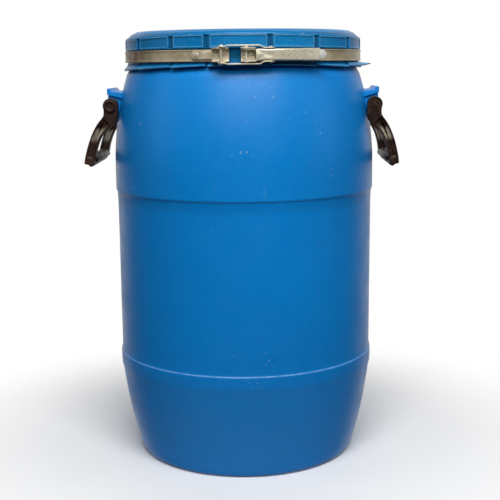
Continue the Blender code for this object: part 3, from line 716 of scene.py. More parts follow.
def make_gasket(material):
    low, high = RIM_Z + GAP, CHANNEL_Z - GAP
    outline = rounded(oblong((0.1565, 0.1652), (high, low)), 0.0009, 3)
    gasket = turned("gasket", outline, steps(0, 360 - 2, 179))
    return finish(gasket, "lid", material, ["lid_gasket"])


# ---------------------------------------------------------------- closing ring and latch


def ring_outline():
    """A channel with rolled edges that stand slightly proud of its web."""
    web = RING_R - 0.0005
    inner = RING_R - 0.0005 - RING_SHEET
    half = [(RING_LEG_R, RING_HALF), (RING_R, RING_HALF), (RING_R, RING_HALF - 0.0017)]
    half += [(web, RING_HALF - 0.0025), (web - 0.0001, RING_HALF - 0.0050)]
    outer = half + [(r, -z) for r, z in reversed(half)]
    leg = RING_HALF - RING_SHEET
    back = oblong((RING_LEG_R, inner), (-leg, leg))
    return rounded(outer + back, 0.0009, 3)


def make_ring_half(name, start, end, body, material, node):
    outline = ring_outline()
    half = swept(name, [(angle, outline) for angle in steps(start, end, 120)], RING_Z)
    return finish(half, body, material, [node])


def flanged(name, reaches):
    """A bracket's channel, from the reach of its two flanges at each angle."""
    web, (low, high) = BRACKET_R + PLATE, FLANGE_Z
    stations = []
    for angle, reach in reaches:
        outline = [(BRACKET_R, high), (reach, high), (reach, low), (web, low)]
        outline += [(web, -low), (reach, -low), (reach, -high), (BRACKET_R, -high)]
        stations.append((angle, rounded(outline, 0.0011, 3)))
    return soften(swept(name, stations), 0.0003)


def upright(angle, radius):
    return at_angle(angle + LATCH_TURN, radius, LATCH_Z)


FULCRUM_PLACE = upright(FULCRUM_ANGLE, FULCRUM_R)
LINK_PIN_PLACE = upright(LINK_PIN_ANGLE, PIVOT_R)
LINK_RIVET_PLACE = upright(LINK_RIVET_ANGLE, PIVOT_R)


def pin_slot():
    """The slot in the anchor's flanges that the cross pin lies in."""
    turn = Matrix.Rotation(math.radians(LINK_PIN_ANGLE + LATCH_TURN), 3, "Z")
    outline = rounded(oblong((-SLOT_LEFT, SLOT_RIGHT), (SLOT_LEFT, -0.0100)), 0.0014, 4)
    sections = []
    for z in (-BORE_REACH, BORE_REACH):
        sections.append([LINK_PIN_PLACE + turn @ Vector((x, y, z)) for x, y in outline])
    return loft("pin_slot", sections)


def band_rivet(word, material):
    """A rivet through the ring and a bracket; the slanting one has a long, tilted head."""
    angle, body = BAND_RIVETS[word]
    foot = at_angle(angle + LATCH_TURN, RING_R, LATCH_Z)
    out = at_angle(angle + LATCH_TURN, 1.0, 0.0)
    profile = rivet_profile(RIVET_R, 0.0034, -RING_SHEET - 0.0004, GAP + PLATE, 0.0006)
    rivet = pin(word.replace("_", "_stud_"), foot, out, profile)
    if word == SLANTING_RIVET:
        around = Vector((-out.y, out.x, 0))
        long_way = (around + Vector((0, 0, 1.1))).normalized()
        wide_way = out.cross(long_way)
        for vertex in rivet.data.vertices:
            away = vertex.co - foot
            if away.dot(out) > PLATE:
                flat = away - out * away.dot(out)
                flat = long_way * flat.dot(long_way) * 1.05 + wide_way * flat.dot(wide_way) * 0.48
                vertex.co = foot + flat + out * away.dot(out)
    return finish(rivet, body, material, [word.replace("_", "_rivet_")])


def make_anchor(material):
    start, end = TAIL_ANGLES
    round_span = math.degrees(TAIL_HALF / BRACKET_R)
    stations = []
    for share in (0.0, 0.03, 0.08, 0.16, 0.28, 0.42, 0.60, 0.80, 1.0):
        half = TAIL_HALF * math.sqrt(1 - (1 - share) ** 2) + 0.0006 * (1 - share)
        stations.append((start + round_span * share, half))
    stations += [(angle, TAIL_HALF) for angle in steps(start + 3.0, end - 0.6, 6)]
    stations += [(end, TAIL_HALF + 0.0008), (end + 1.0, TAIL_HALF + 0.0018)]
    middle, reach, rise = TAIL_BEAD
    low, high = BRACKET_R, BRACKET_R + PLATE
    outlines = []
    for angle, half in stations:
        bead = smooth_bump(angle, middle, reach) * rise
        outline = rounded(oblong((low, high), (half, -half)), 0.0005, 2)
        rib = [(high, half * share) for share in (0.6, 0.35, 0.15, -0.15, -0.35, -0.6)]
        split = len(outline) // 2
        outline = outline[:split] + [(r + bead * (1 - abs(z / half)), z) for r, z in rib] + outline[split:]
        outlines.append((angle, outline))
    tail = swept("anchor_tail", outlines)
    soften(tail, 0.0003)
    anchor = flanged("anchor", ANCHOR_REACH)
    join(anchor, tail)
    cut(anchor, pin_slot())
    return finish(anchor, "ring_left", material, ["anchor_bracket"])


def make_fulcrum_bracket(material):
    start, end = RIGHT_RING_END, FULCRUM_END
    reaches = [(start, FLANGE_R - 0.0010), (start + 0.2, FLANGE_R - 0.0003)]
    reaches += [(angle, FLANGE_R) for angle in steps(start + 0.5, end - 0.5, 8)]
    reaches += [(end - 0.2, FLANGE_R - 0.0003), (end, FLANGE_R - 0.0010)]
    bracket = flanged("fulcrum_holder", reaches)
    cut(bracket, bore(FULCRUM_PLACE, RIVET_R, BORE_REACH))
    return finish(bracket, "ring_right", material, ["fulcrum_bracket"])


def lever_half(angle):
    """Half the lever's height: a waist near its rivet, then slowly taller to its end."""
    share = max(0.0, (angle - LEVER_WAIST_END) / (LEVER_ANGLES[1] - LEVER_WAIST_END))
    return LEVER_HALF - 0.0008 * smooth_bump(angle, LEVER_WAIST, 3.6) + (LEVER_END_HALF - LEVER_HALF) * share


def lever_press(angle, height):
    """How far the lever's web is pressed in: two creases that meet, a flat waist and a small dent."""
    depth = 0.0
    point = Vector((angle, height * 1000))
    for sign in (1, -1):
        start, end = (Vector((turn, mm * sign)) for turn, mm in LEVER_CREASE)
        along = Vector(((end.x - start.x) * MM_PER_DEGREE, end.y - start.y))
        away = Vector(((point.x - start.x) * MM_PER_DEGREE, point.y - start.y))
        share = max(0.0, min(1.0, away.dot(along) / along.length_squared))
        distance = (away - along * share).length
        depth += 0.0002 * math.exp(-((distance / 1.3) ** 2))
    depth += 0.0006 * smooth_bump(angle, LEVER_WAIST, 2.4) * smooth_bump(height, 0, 0.0062)
    depth += 0.0004 * smooth_bump(angle, LEVER_DENT, 0.9) * smooth_bump(height, 0.0018, 0.0026)
    if angle < 9:
        depth += 0.0007 * max(0.0, height / LEVER_HALF) * (9 - angle) / 3.4
    return depth


def lever_outline(angle):
    half = lever_half(angle)
    corner = LEVER_CORNER
    outer = arc((LEVER_R - corner, half - corner), corner, 90, 0, 4)
    rows = [(LEVER_R, (half - corner) * share) for share in steps(0.85, -0.85, 12)]
    lower = [(r, -z) for r, z in reversed(outer)]
    face = [(r - lever_press(angle, z), z) for r, z in outer + rows + lower]
    inner = half - LEVER_SHEET
    web = LEVER_R - LEVER_SHEET - 0.0004
    back = [(LEVER_CHEEK_R, -half), (LEVER_CHEEK_R, -inner), (web - 0.0012, -inner), (web - 0.0012, inner)]
    return [(LEVER_CHEEK_R, half)] + face + back + [(LEVER_CHEEK_R, inner)]


def cheek(side):
    low, high = sorted((side * (LEVER_HALF - LEVER_SHEET), side * LEVER_HALF))
    eye = rod("cheek_eye", FULCRUM_PLACE, (0, 0, 1), 0.0046, low, high, 48)
    outline = oblong((LEVER_CHEEK_R, LEVER_R - 0.0004), (low, high))
    arm = swept("cheek_arm", [(angle, outline) for angle in steps(1.7, 6.4, 6)])
    return [eye, arm]


def make_lever(material):
    start, end = LEVER_ANGLES
    lever = swept("lever_handle", [(angle, lever_outline(angle)) for angle in steps(start, end, 110)])
    web = LEVER_R - LEVER_SHEET
    stations = []
    for angle in steps(end - 0.8, LEVER_TAB_ANGLE, 16):
        share = max(0.0, (angle - end) / (LEVER_TAB_ANGLE - end))
        half = LEVER_TAB_HALF * math.sqrt(max(0.02, 1 - max(0.0, (share - 0.45) / 0.55) ** 2))
        out = LEVER_TAB_RISE * share * share
        outline = oblong((web + out, LEVER_R + out), (half, -half))
        stations.append((angle, rounded(outline, 0.0005, 2)))
    pieces = [swept("lever_tab", stations)] + cheek(1) + cheek(-1)
    join(lever, *pieces)
    cut(lever, bore(FULCRUM_PLACE, RIVET_R, 0.010), bore(LINK_RIVET_PLACE, RIVET_R, 0.010))
    return finish(lever, "lever", material, ["closing_lever"], 38)


def strap_level(x):
    """The strap's inner face: it steps out between its ends to pass the fulcrum pin's heads."""
    left, middle, right = STRAP_LEVELS
    rise_start, rise_end, fall_start, fall_end = STRAP_JOGGLES
    up = max(0.0, min(1.0, (x - rise_start) / (rise_end - rise_start)))
    down = max(0.0, min(1.0, (x - fall_start) / (fall_end - fall_start)))
    up, down = up * up * (3 - 2 * up), down * down * (3 - 2 * down)
    return left + (middle - left) * up + (right - middle) * down


def make_strap(name, side, material, node):
    foot, far = LINK_PIN_PLACE, LINK_RIVET_PLACE
    along = (far - foot).normalized()
    outward = Vector((along.y, -along.x, 0))
    length = (far - foot).length
    ends = []
    for angle in steps(0, 90, 8):
        turn = math.radians(angle)
        ends.append((-STRAP_HALF * math.cos(turn), max(STRAP_HALF * math.sin(turn), 0.0005)))
    rise_start, rise_end, fall_start, fall_end = STRAP_JOGGLES
    stations = list(ends) + [(x, STRAP_HALF) for x in steps(rise_start, rise_end, 6)]
    stations += [(x, STRAP_HALF) for x in steps(rise_end + 0.003, fall_start - 0.003, 8)]
    stations += [(x, STRAP_HALF) for x in steps(fall_start, fall_end, 6)]
    stations += [(length - x, half) for x, half in reversed(ends)]
    sections = []
    for x, half in stations:
        low = strap_level(x)
        corners = rounded(oblong((-half, half), (low, low + STRAP_THICK)), 0.0004, 2)
        sections.append([foot + along * x + outward * y + Vector((0, 0, side * z)) for y, z in corners])
    strap = soften(loft(name, sections), 0.0002)
    cut(strap, bore(foot, PIN_R, 0.020), bore(far, RIVET_R, 0.020))
    return finish(strap, "link", material, [node])


# ---------------------------------------------------------------- handles


def smooth_path(points, count):
    """A curve through the points, in three values each, by Catmull-Rom."""
    result = []
    total = len(points)
    for index in range(total - 1):
        p0 = Vector(points[max(index - 1, 0)])
        p1, p2 = Vector(points[index]), Vector(points[index + 1])
        p3 = Vector(points[min(index + 2, total - 1)])
        for step in range(count):
            t = step / count
            point = 2 * p1 + (p2 - p0) * t + (2 * p0 - 5 * p1 + 4 * p2 - p3) * t * t
            point += (3 * p1 - 3 * p2 + p3 - p0) * t**3
            result.append(tuple(point * 0.5))
    result.append(tuple(points[-1]))
    return result


def ribbon(path, shrink=0.0):
    left, right = [], []
    for index, (x, z, half) in enumerate(path):
        before = path[max(index - 1, 0)]
        after = path[min(index + 1, len(path) - 1)]
        along = Vector((after[0] - before[0], after[1] - before[1])).normalized()
        across = Vector((along.y, -along.x)) * (half - shrink)
        left.append((x + across.x, z + across.y))
        right.append((x - across.x, z - across.y))
    return left + right[::-1]


def grip_outline():
    outer, inner = GRIP_R
    points = arc(GRIP_CENTRE, outer, -15, 200, 28) + arc(GRIP_CENTRE, inner, 200, -15, 28)
    return rounded(points, 0.0008, 2)


def hub_profile(low, high, rim_high):
    """The round eye at an arm's top; its outer face has a low rim."""
    edge = HUB_R - 0.0010
    face = [(0, 0.0007), (HUB_R - 0.0024, 0.0007), (HUB_R - 0.0019, 0), (edge, 0), (HUB_R, 0.0010)]
    plain = [(0, 0), (edge, 0), (HUB_R, 0.0010)]
    bottom, top = (plain, face) if rim_high else (face, plain)
    return [(r, low + z) for r, z in bottom] + [(r, high - z) for r, z in reversed(top)]


def arm_pocket(place, outline, mouth, floor):
    """A hollow with a rounded floor, cut from a face of the arm."""
    sections = []
    for share, narrow in ((0.0, 0.0034), (0.06, 0.0024), (0.22, 0.0013), (0.50, 0.0004), (0.90, 0.0)):
        y = floor + (mouth - floor) * share
        sections.append([place(x, z, y) for x, z in inset(outline, narrow)])
    sections.append([place(x, z, mouth + (mouth - floor)) for x, z in outline])
    return loft("pocket", sections)


def make_handle(word, material):
    side = SIDE[word]
    hang = Matrix.Rotation(math.radians(HANG[word]), 2)
    foot = (side * HINGE_X, 0, HINGE_Z)

    def place(x, z, y):
        x, z = hang @ Vector((x, z))
        return Vector((side * (HINGE_X + x), y, HINGE_Z + z))

    reach = ARM_Y[0] + 0.0040
    handle = slab(f"carrying_handle_{word}", grip_outline(), -reach, reach, 0.0003, place)
    pieces = [slab("core", arc(GRIP_CORE, GRIP_CORE_R, 0, 345, 23), -reach, reach, 0.0003, place)]
    arm_outline = ribbon(smooth_path(ARM_PATH, 6))
    pocket_outline = rounded(ribbon(smooth_path(ARM_PATH[2:-1], 6), POCKET_EDGE), 0.0020, 3)
    tools = []
    for end in (-1, 1):
        low, high = sorted((end * ARM_Y[0], end * ARM_Y[1]))
        pieces.append(slab("arm", rounded(arm_outline, 0.0022, 3), low, high, 0.0009, place))
        low, high = sorted((end * HUB_Y[0], end * HUB_Y[1]))
        pieces.append(pin("hub", foot, (0, 1, 0), hub_profile(low, high, end > 0), 56))
        low, high = sorted((end * (LUG_Y + 2 * GAP), end * (HUB_Y[0] + 0.0010)))
        pieces.append(rod("collar", foot, (0, 1, 0), COLLAR_R, low, high, 48))
        for face, depth in ((ARM_Y[1], POCKET_DEPTH), (ARM_Y[0], -POCKET_DEPTH)):
            tools.append(arm_pocket(place, pocket_outline, end * face, end * (face - depth)))
    join(handle, *pieces)
    cut(handle, *tools)
    cut(handle, bore(foot, HANDLE_PIN_R, 0.090, (0, 1, 0)))
    return finish(handle, f"handle_{word}", material, [f"handle_{word}"], 38)


def make_handle_pin(word, material):
    side = SIDE[word]
    foot = (side * HINGE_X, 0, HINGE_Z)
    out = (0, side, 0)
    head = HUB_Y[1] + GAP
    tail = -HUB_Y[1] - 0.0030
    profile = [(0, tail), (HANDLE_PIN_R - 0.0006, tail), (HANDLE_PIN_R, tail + 0.0008)]
    profile += [(HANDLE_PIN_R, head), (0.0084, head), (0.0086, head + 0.0008), (0.0080, head + 0.0019)]
    profile += [(0.0068, head + 0.0022), (0.0056, head + 0.0019), (0.0048, head + 0.0008)]
    profile += [(0.0040, head + 0.0004), (0, head + 0.0003)]
    shaft = pin(f"hinge_pin_{word}", foot, out, rounded(profile, 0.0004, 2, closed=False), 56)
    body = f"handle_{word}"
    finish(shaft, body, material, [f"handle_pin_{word}"])
    low, high = -HUB_Y[1] - GAP - 0.0016, -HUB_Y[1] - GAP
    hole = HANDLE_PIN_R + GAP
    ring = [(hole, low + 0.0004), (0.0050, low), (0.0055, low + 0.0006), (0.0055, high), (hole, high)]
    clip = pin(f"hinge_clip_{word}", foot, out, rounded(ring, 0.0004, 2), 48)
    finish(clip, body, material, [f"handle_pin_clip_{word}"])


# ---------------------------------------------------------------- materials


def feed(tree, node, inputs):
    """Gives each of the node's inputs a value or a link."""
    for key, value in inputs.items():
        if isinstance(value, bpy.types.NodeSocket):
            tree.links.new(value, node.inputs[key])
        else:
            node.inputs[key].default_value = value


def add_node(tree, kind, inputs=None, **settings):
    """Adds a node with its settings and inputs, and returns its outputs."""
    node = tree.nodes.new("ShaderNode" + kind)
    for key, value in settings.items():
        setattr(node, key, value)
    feed(tree, node, inputs or {})
    return node.outputs


class Shader:
    """A Principled material and short calls that add nodes to it."""

    def __init__(self, name, **constants):
        self.material = bpy.data.materials.new(name)
        self.material.use_nodes = True
        self.tree = self.material.node_tree
        self.main = self.tree.nodes["Principled BSDF"]
        for key, value in constants.items():
            self.set(key.replace("_", " "), value)
        self.point = self.add("TexCoord")["Object"]

    def add(self, kind, inputs=None, **settings):
        return add_node(self.tree, kind, inputs, **settings)

    def set(self, key, value):
        feed(self.tree, self.main, {key: value})

    def math(self, operation, first, second=0.0, clamp=False):
        return self.add("Math", {0: first, 1: second, 2: 0.0}, operation=operation, use_clamp=clamp)[0]

    def plus(self, first, second):
        """The sum, at most one."""
        return self.math("ADD", first, second, clamp=True)

    def times(self, *values):
        """The values multiplied together."""
        result = values[0]
        for value in values[1:]:
            result = self.math("MULTIPLY", result, value)
        return result

    def vector(self, operation, first, second=(0, 0, 0)):
        return self.add("VectorMath", {0: first, 1: second}, operation=operation)

    def moved(self, turn=(0, 0, 0), stretch=(1, 1, 1), shift=(0, 0, 0)):
        """The place on the piece, turned by angles in degrees, stretched and shifted."""
        turn = [math.radians(angle) for angle in turn]
        inputs = {"Vector": self.point, "Rotation": turn, "Scale": stretch, "Location": shift}
        return self.add("Mapping", inputs)["Vector"]

    def noise(self, scale, detail=3.0, rough=0.5, vector=None, bend=0.0):
        inputs = {"Vector": vector or self.point, "Scale": scale, "Detail": detail}
        inputs.update({"Roughness": rough, "Distortion": bend})
        return self.add("TexNoise", inputs)["Fac"]

    def fit(self, value, low, high, to_low=0.0, to_high=1.0):
        """A smooth step between low and high."""
        inputs = {"Value": value, "From Min": low, "From Max": high, "To Min": to_low, "To Max": to_high}
        return self.add("MapRange", inputs, interpolation_type="SMOOTHSTEP")["Result"]

    def fade(self, value, low, high):
        """One up to low, falling smoothly to nothing at high."""
        return self.fit(value, low, high, 1.0, 0.0)

    def window(self, value, start, rise, fall, end):
        """One from rise to fall, and nothing before start and after end."""
        return self.times(self.fit(value, start, rise), self.fade(value, fall, end))

    def cloud(self, scale, detail, rough, low, high, to_low=0.0, to_high=1.0, bend=0.0):
        """Noise with a smooth step between low and high."""
        return self.fit(self.noise(scale, detail, rough, bend=bend), low, high, to_low, to_high)

    def mix(self, share, first, second):
        """The first colour with a share of the second one over it."""
        colours = [(*value, 1.0) if isinstance(value, tuple) else value for value in (first, second)]
        return self.add("Mix", {"Factor": share, 6: colours[0], 7: colours[1]}, data_type="RGBA")[2]

    def specks(self, scale, size, share):
        """Small round spots: a share of the cells of a random grid has one."""
        cells = self.add("TexVoronoi", {"Vector": self.point, "Scale": scale})
        parts = self.add("SeparateColor", {0: cells["Color"]})
        chosen = self.math("GREATER_THAN", parts[0], 1 - share)
        width = self.times(parts[1], size)
        near = self.fit(self.math("SUBTRACT", width, cells["Distance"]), 0.0, size * 0.25)
        return self.times(near, chosen)

    def scratches(self, turns, scale, low, thin=0.02):
        """Long thin marks, a few in each of the given directions."""
        total = None
        for number, turn in enumerate(turns):
            line = self.noise(scale, 1.0, 0.4, self.moved(turn, (1, 1, thin), (number * 3.1, 0, 0)))
            mark = self.fit(line, low, low + 0.05)
            place = self.moved((0, 0, 40 * number), (1, 1, 1), (0, number, 0))
            mark = self.times(mark, self.fit(self.noise(9, 1.0, 0.5, place), 0.52, 0.62))
            total = mark if total is None else self.math("MAXIMUM", total, mark)
        return total

    def bump(self, height, strength, distance, normal=None):
        inputs = {"Height": height, "Strength": strength, "Distance": distance}
        if normal:
            inputs["Normal"] = normal
        return self.add("Bump", inputs)["Normal"]

    def parts(self, source):
        return self.add("SeparateXYZ", {0: source})


def panel_stains_and_painted_light(s, colour, height):
    """Painted highlights on the ridges round the lid's panels and along the skirt's lower edge, painted
    shade in the slots, and small rusty stains above them.
    """
    flat = s.vector("MULTIPLY", s.point, (1.0, 1.0, 0.0))[0]
    radius = s.vector("LENGTH", flat)["Value"]
    band = s.window(height, *PANEL_BAND)
    # painted highlight: pale, patchy lines along the raised ridges round the panels
    patchy_highlight = s.cloud(160, 4, 0.6, 0.30, 0.55, 0.25, 1.0)
    ridge_highlight = s.times(s.fit(radius, PANEL_R - 0.00022, PANEL_R - 0.00006), patchy_highlight)
    colour = s.mix(s.times(ridge_highlight, band, 0.55), colour, (0.16, 0.36, 0.56))
    # painted shade: the slots darkened to a deep blue
    slot = s.times(s.fade(radius, PANEL_R - 0.0018, PANEL_R - 0.0012), band)
    colour = s.mix(s.times(slot, 0.75), colour, (0.0008, 0.045, 0.120))
    # painted highlight along the lower edges of the skirt's segments
    low = s.fade(height, 0.5895, 0.5925)
    edge = s.times(low, s.times(s.fit(radius, 0.1752, 0.1762), patchy_highlight))
    colour = s.mix(s.times(edge, 0.5), colour, (0.14, 0.34, 0.56))
    zone = s.window(height, *STAIN_BAND)
    stain = s.times(s.cloud(230, 4, 0.65, 0.66, 0.71), zone)
    return s.mix(s.times(stain, 0.7), colour, (0.060, 0.040, 0.030))


def wall_painted_shade_and_highlight(s, colour, height, base):
    """Painted shade: a darker stretch under the upper line and a darker wall towards the foot; and a painted
    highlight along the lower line.
    """
    # painted shade below the upper line's downward-facing step, and towards the foot
    under = s.window(height, *UPPER_LINE_BAND)
    foot = s.fade(height, *FOOT_SHADE)
    share = s.plus(s.times(under, 0.34), s.times(foot, 0.62))
    colour = s.mix(share, colour, tuple(value * 0.60 for value in base))
    # painted highlight along the upward-facing ledge of the lower line
    line = s.window(height, *LOWER_LINE_BAND)
    patchy_highlight = s.cloud(90, 4, 0.6, 0.30, 0.60, 0.35, 1.0)
    return s.mix(s.times(line, patchy_highlight, 0.55), colour, (0.30, 0.50, 0.90))


def blue_plastic(name, base, deep, pale, dirt, ridged=False):
    """Blow moulded polyethylene: slow colour drift, fine grain, a few scuffs, pale specks and dust, with
    painted highlights and shade added over them.
    """
    s = Shader(name, IOR=1.5, Specular_IOR_Level=0.36)
    height = s.parts(s.point)[2]
    drift = s.cloud(6, 3, 0.55, 0.35, 0.65)
    cloud = s.cloud(60, 4, 0.6, 0.30, 0.70)
    colour = s.mix(s.times(drift, 0.6), base, deep)
    colour = s.mix(s.times(cloud, 0.10), colour, pale)
    scratch = s.scratches(((62, 10, 20), (-48, 30, 75), (88, 0, 40), (20, 80, 0)), 150, 0.735, 0.10)
    mottle = s.times(s.cloud(480, 2, 0.6, 0.36, 0.66), 0.20)
    colour = s.mix(mottle, colour, (0.008, 0.350, 0.860))
    speck = s.specks(120, 0.22, 0.012)
    cluster = s.cloud(9, 4, 0.6, 0.48, 0.62)
    fleck = s.times(s.specks(250, 0.45, 0.10), cluster)
    marks = s.plus(s.times(scratch, 0.05), s.times(speck, 0.75))
    marks = s.plus(marks, s.times(fleck, 0.50))
    colour = s.mix(marks, colour, (0.30, 0.48, 0.72))
    grime = s.cloud(34, 6, 0.65, 0.58, 0.74, bend=0.6)
    low_dirt = s.fade(height, 0.0, 0.10)
    dust = s.times(grime, s.math("ADD", s.times(low_dirt, 0.22), dirt))
    colour = s.mix(dust, colour, (0.10, 0.20, 0.32))
    # the lid gets painted highlights, painted shade and stains round its panels; the body gets painted shade
    # and a painted highlight on its wall
    if ridged:
        colour = panel_stains_and_painted_light(s, colour, height)
    else:
        colour = wall_painted_shade_and_highlight(s, colour, height, base)
    s.set("Base Color", colour)
    rough = s.cloud(26, 4, 0.6, 0.30, 0.70, 0.32, 0.42)
    s.set("Roughness", s.plus(rough, s.times(marks, 0.2)))
    peel = s.bump(s.noise(190, 2, 0.5), 0.20, 0.0008)
    grain = s.bump(s.noise(900, 2, 0.6), 0.35, 0.0004, peel)
    s.set("Normal", s.bump(s.math("SUBTRACT", 1.0, marks), 0.20, 0.0002, grain))
    return s.material


def zinc_steel(name, base, tint, rust_low, bright=0.38, darker_left_side=False, painted_tip_highlight=False):
    """Yellow zinc plate on pressed steel: patchy tint, dull spots, hair scratches and some rust; optionally
    darker and browner towards the left side, or a painted highlight at the lever's tip.
    """
    s = Shader(name)
    patch = s.cloud(55, 4, 0.62, 0.36, 0.66, bend=0.5)
    fine = s.cloud(420, 3, 0.6, 0.35, 0.68)
    colour = s.mix(s.times(patch, 0.75), base, tint)
    colour = s.mix(s.times(fine, 0.22), colour, (0.30, 0.26, 0.19))
    hair = s.scratches(((0, 0, 0), (75, 0, 12), (35, 62, 0), (0, 88, 0)), 1600, 0.68, 0.03)
    colour = s.mix(s.times(hair, 0.5), colour, (0.80, 0.78, 0.70))
    rust = s.cloud(130, 6, 0.7, rust_low, rust_low + 0.08, bend=0.4)
    rust = s.times(rust, s.cloud(24, 2, 0.5, 0.42, 0.58))
    colour = s.mix(rust, colour, (0.085, 0.042, 0.018))
    across = s.parts(s.point)[0]
    # the band turns darker and browner towards its left side
    if darker_left_side:
        brown = s.fade(across, *BAND_DARKER_SIDE)
        uneven = s.cloud(48, 5, 0.65, 0.30, 0.60, 0.35, 1.0, bend=0.5)
        colour = s.mix(s.times(brown, uneven), colour, (0.150, 0.088, 0.050))
    # painted highlight: the lever's tip turned near white
    if painted_tip_highlight:
        colour = s.mix(s.fit(across, *LEVER_TIP_HIGHLIGHT), colour, (0.95, 0.93, 0.86))
    s.set("Base Color", colour)
    s.set("Metallic", s.math("SUBTRACT", 0.50, s.times(rust, 0.48)))
    rough = s.cloud(160, 4, 0.6, 0.30, 0.70, bright - 0.06, bright + 0.12)
    s.set("Roughness", s.plus(rough, s.times(rust, 0.45)))
    wave = s.bump(s.noise(75, 2, 0.5), 0.30, 0.0006)
    pitted = s.bump(s.noise(900, 3, 0.6), 0.16, 0.0002, wave)
    s.set("Normal", s.bump(rust, 0.4, 0.0002, pitted))
    return s.material


def handle_plastic(name):
    """Dark brown moulded plastic with a pale stretch in the hollows of each arm, partly dust and partly
    painted sheen.
    """
    s = Shader(name, IOR=1.48, Specular_IOR_Level=0.26)
    place = s.parts(s.point)
    depth = s.math("ABSOLUTE", place[1])
    # a pale stretch in the arms' hollows, in a band of heights set lower on the back arm: dust with a
    # painted sheen
    inner = s.window(depth, *ARM_HOLLOW)
    level = s.math("ADD", place[2], s.times(s.math("GREATER_THAN", place[1], 0.0), ARM_DUST_AND_SHEEN_STEP))
    high = s.window(level, *ARM_DUST_AND_SHEEN)
    streak = s.fit(s.noise(130, 4, 0.6, s.moved((0, 0, 0), (1, 1, 0.15))), 0.30, 0.62, 0.35, 1.0)
    dust = s.times(inner, high, streak)
    drift = s.cloud(42, 5, 0.65, 0.38, 0.70, bend=0.3)
    colour = s.mix(drift, (0.0170, 0.0070, 0.0040), (0.062, 0.030, 0.018))
    colour = s.mix(s.times(dust, 0.9), colour, (0.34, 0.30, 0.23))
    rub = s.scratches(((80, 0, 10), (40, 55, 0)), 500, 0.70, 0.06)
    speck = s.specks(420, 0.25, 0.03)
    marks = s.math("MAXIMUM", s.times(rub, 0.18), s.times(speck, 0.20))
    colour = s.mix(marks, colour, (0.30, 0.24, 0.21))
    s.set("Base Color", colour)
    rough = s.cloud(70, 4, 0.6, 0.30, 0.70, 0.40, 0.56)
    s.set("Roughness", s.plus(rough, s.times(dust, 0.4)))
    grain = s.bump(s.noise(1100, 2, 0.6), 0.18, 0.0003)
    s.set("Normal", s.bump(s.noise(130, 3, 0.5), 0.20, 0.0006, grain))
    return s.material


def foam(name):
    s = Shader(name, Specular_IOR_Level=0.3)
    pores = s.noise(1400, 3, 0.7)
    s.set("Base Color", s.mix(s.fit(pores, 0.35, 0.65), (0.030, 0.030, 0.032), (0.085, 0.085, 0.090)))
    s.set("Roughness", s.cloud(200, 3, 0.6, 0.3, 0.7, 0.78, 0.95))
    s.set("Normal", s.bump(pores, 0.5, 0.0004))
    return s.material


# ---------------------------------------------------------------- stage


def make_camera():
    turn, pitch, roll = (math.radians(a) for a in (CAMERA_TURN, CAMERA_PITCH, CAMERA_ROLL))
    right = Vector((math.cos(turn), math.sin(turn), 0))
    ahead = Vector((-math.sin(turn), math.cos(turn), 0))
    forward = ahead * math.cos(pitch) - Vector((0, 0, math.sin(pitch)))
    up = ahead * math.sin(pitch) + Vector((0, 0, math.cos(pitch)))
    side = right * math.cos(roll) + up * math.sin(roll)
    top = up * math.cos(roll) - right * math.sin(roll)
    data = bpy.data.cameras.new("camera")
    data.lens = LENS
    data.sensor_width = SENSOR
    camera = add_to_scene("camera", data)
    turned_to = Matrix((side, top, -forward)).transposed().to_4x4()
    camera.matrix_world = Matrix.Translation(CAMERA_PLACE) @ turned_to
    bpy.context.scene.camera = camera


def make_light(name, place, target, size, power):
    data = bpy.data.lights.new(name, "AREA")
    data.shape = "RECTANGLE"
    data.size, data.size_y = size
    data.energy = power
    light = add_to_scene(name, data)
    light.location = place
    light.rotation_euler = (Vector(target) - Vector(place)).to_track_quat("-Z", "Y").to_euler()
    light.visible_camera = False


def make_floor():
    """A pale disc that fades into the backdrop colour."""
    count = FLOOR_SIDES
    points = [Vector((0, 0, 0))]
    faces = []
    for radius in FLOOR_RINGS:
        points += [at_angle(360 * side / count, radius, 0) for side in range(count)]
    for side in range(count):
        after = (side + 1) % count
        faces.append((0, 1 + side, 1 + after))
        for ring in range(len(FLOOR_RINGS) - 1):
            a, b = 1 + ring * count, 1 + (ring + 1) * count
            faces.append((a + side, b + side, b + after, a + after))
    floor = make_object("floor", points, faces)
    s = Shader("floor_paint", Roughness=0.7, Specular_IOR_Level=0.2)
    s.set("Base Color", s.mix(s.cloud(3, 2, 0.5, 0.3, 0.7), (0.90, 0.90, 0.90), (0.93, 0.93, 0.93)))
    s.set("Alpha", s.fade(s.vector("LENGTH", s.point)["Value"], *FLOOR_FADE))
    floor.data.materials.append(s.material)
    floor.visible_glossy = False


def make_world():
    """White to the camera; for light and reflections, brighter behind and overhead than in front."""
    world = bpy.data.worlds.new("studio")
    bpy.context.scene.world = world
    world.use_nodes = True
    tree = world.node_tree
    tree.nodes.clear()
    ahead = add_node(tree, "SeparateXYZ", {0: add_node(tree, "TexCoord")["Generated"]})[1]
    inputs = {"Value": ahead, "From Min": 0.40, "From Max": 0.95, "To Min": WORLD_FRONT, "To Max": 1.0}
    power = add_node(tree, "MapRange", inputs, interpolation_type="SMOOTHSTEP")["Result"]
    light = add_node(tree, "Background", {"Color": (0.98, 0.98, 1.0, 1.0), "Strength": power})[0]
    white = add_node(tree, "Background", {"Color": (1.0, 1.0, 1.0, 1.0)})[0]
    seen = add_node(tree, "LightPath")["Is Camera Ray"]
    shown = add_node(tree, "MixShader", {"Fac": seen, 1: light, 2: white})[0]
    add_node(tree, "OutputWorld", {"Surface": shown})


# ---------------------------------------------------------------- build


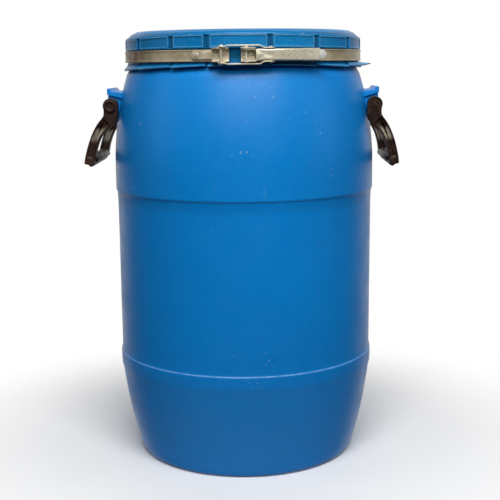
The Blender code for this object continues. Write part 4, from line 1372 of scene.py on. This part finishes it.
def build():
    base, deep, pale = (0.0002, 0.215, 0.640), (0.0002, 0.190, 0.580), (0.002, 0.250, 0.700)
    drum_blue = blue_plastic("drum_blue", base, deep, pale, 0.04)
    base, deep, pale = (0.0004, 0.168, 0.410), (0.0004, 0.140, 0.350), (0.004, 0.210, 0.480)
    lid_blue = blue_plastic("lid_blue", base, deep, pale, 0.06, True)
    band_zinc = zinc_steel("band_zinc", (0.66, 0.56, 0.38), (0.48, 0.39, 0.25), 0.66, darker_left_side=True)
    latch_zinc = zinc_steel("latch_zinc", (0.93, 0.88, 0.68), (0.76, 0.70, 0.50), 0.70, 0.32, painted_tip_highlight=True)
    rusty_zinc = zinc_steel("rusty_zinc", (0.92, 0.83, 0.63), (0.60, 0.49, 0.32), 0.60, 0.36)
    pin_steel = zinc_steel("pin_steel", (0.90, 0.86, 0.72), (0.72, 0.66, 0.50), 0.66, 0.30)
    brown = handle_plastic("dark_plastic")
    grey_foam = foam("grey_foam")

    make_body(drum_blue)
    make_lid(lid_blue)
    make_gasket(grey_foam)
    make_ring_half("band_right", RIGHT_RING_END, 180, "ring_right", band_zinc, "clamp_band_right")
    make_ring_half("band_left", LEFT_RING_END, -180, "ring_left", band_zinc, "clamp_band_left")
    make_anchor(rusty_zinc)
    band_rivet("anchor_outer", pin_steel)
    band_rivet("anchor_inner", pin_steel)
    make_fulcrum_bracket(rusty_zinc)
    band_rivet("fulcrum_inner", pin_steel)
    band_rivet("fulcrum_outer", pin_steel)

    top = FLANGE_Z[1]
    profile = rivet_profile(RIVET_R, 0.0030, -top, top, 0.0012)
    shaft = pin("fulcrum_shaft", FULCRUM_PLACE, (0, 0, 1), profile)
    finish(shaft, "ring_right", pin_steel, ["fulcrum_pin"])
    make_lever(latch_zinc)
    for side, word in ((1, "upper"), (-1, "lower")):
        low, high = LEVER_HALF - LEVER_SHEET, STRAP_LEVELS[2] + STRAP_THICK
        profile = rivet_profile(RIVET_R, 0.0024, low, high, 0.0009)
        rivet = pin(f"link_stud_{word}", LINK_RIVET_PLACE, (0, 0, side), profile)
        finish(rivet, "lever", pin_steel, [f"link_rivet_{word}"])
        make_strap(f"strap_{word}", side, rusty_zinc, f"link_strap_{word}")
    reach = STRAP_LEVELS[0] + STRAP_THICK
    profile = rivet_profile(PIN_R, 0.0028, -reach, reach, 0.0015)
    cross = pin("cross_pin", LINK_PIN_PLACE, (0, 0, 1), profile)
    finish(cross, "link", pin_steel, ["link_pin"])

    for word in SIDE:
        make_handle(word, brown)
        make_handle_pin(word, brown)


build()
make_floor()
make_world()
for light_name, settings in LIGHTS.items():
    make_light(light_name, *settings)
make_camera()
bpy.context.scene.view_settings.view_transform = "Standard"
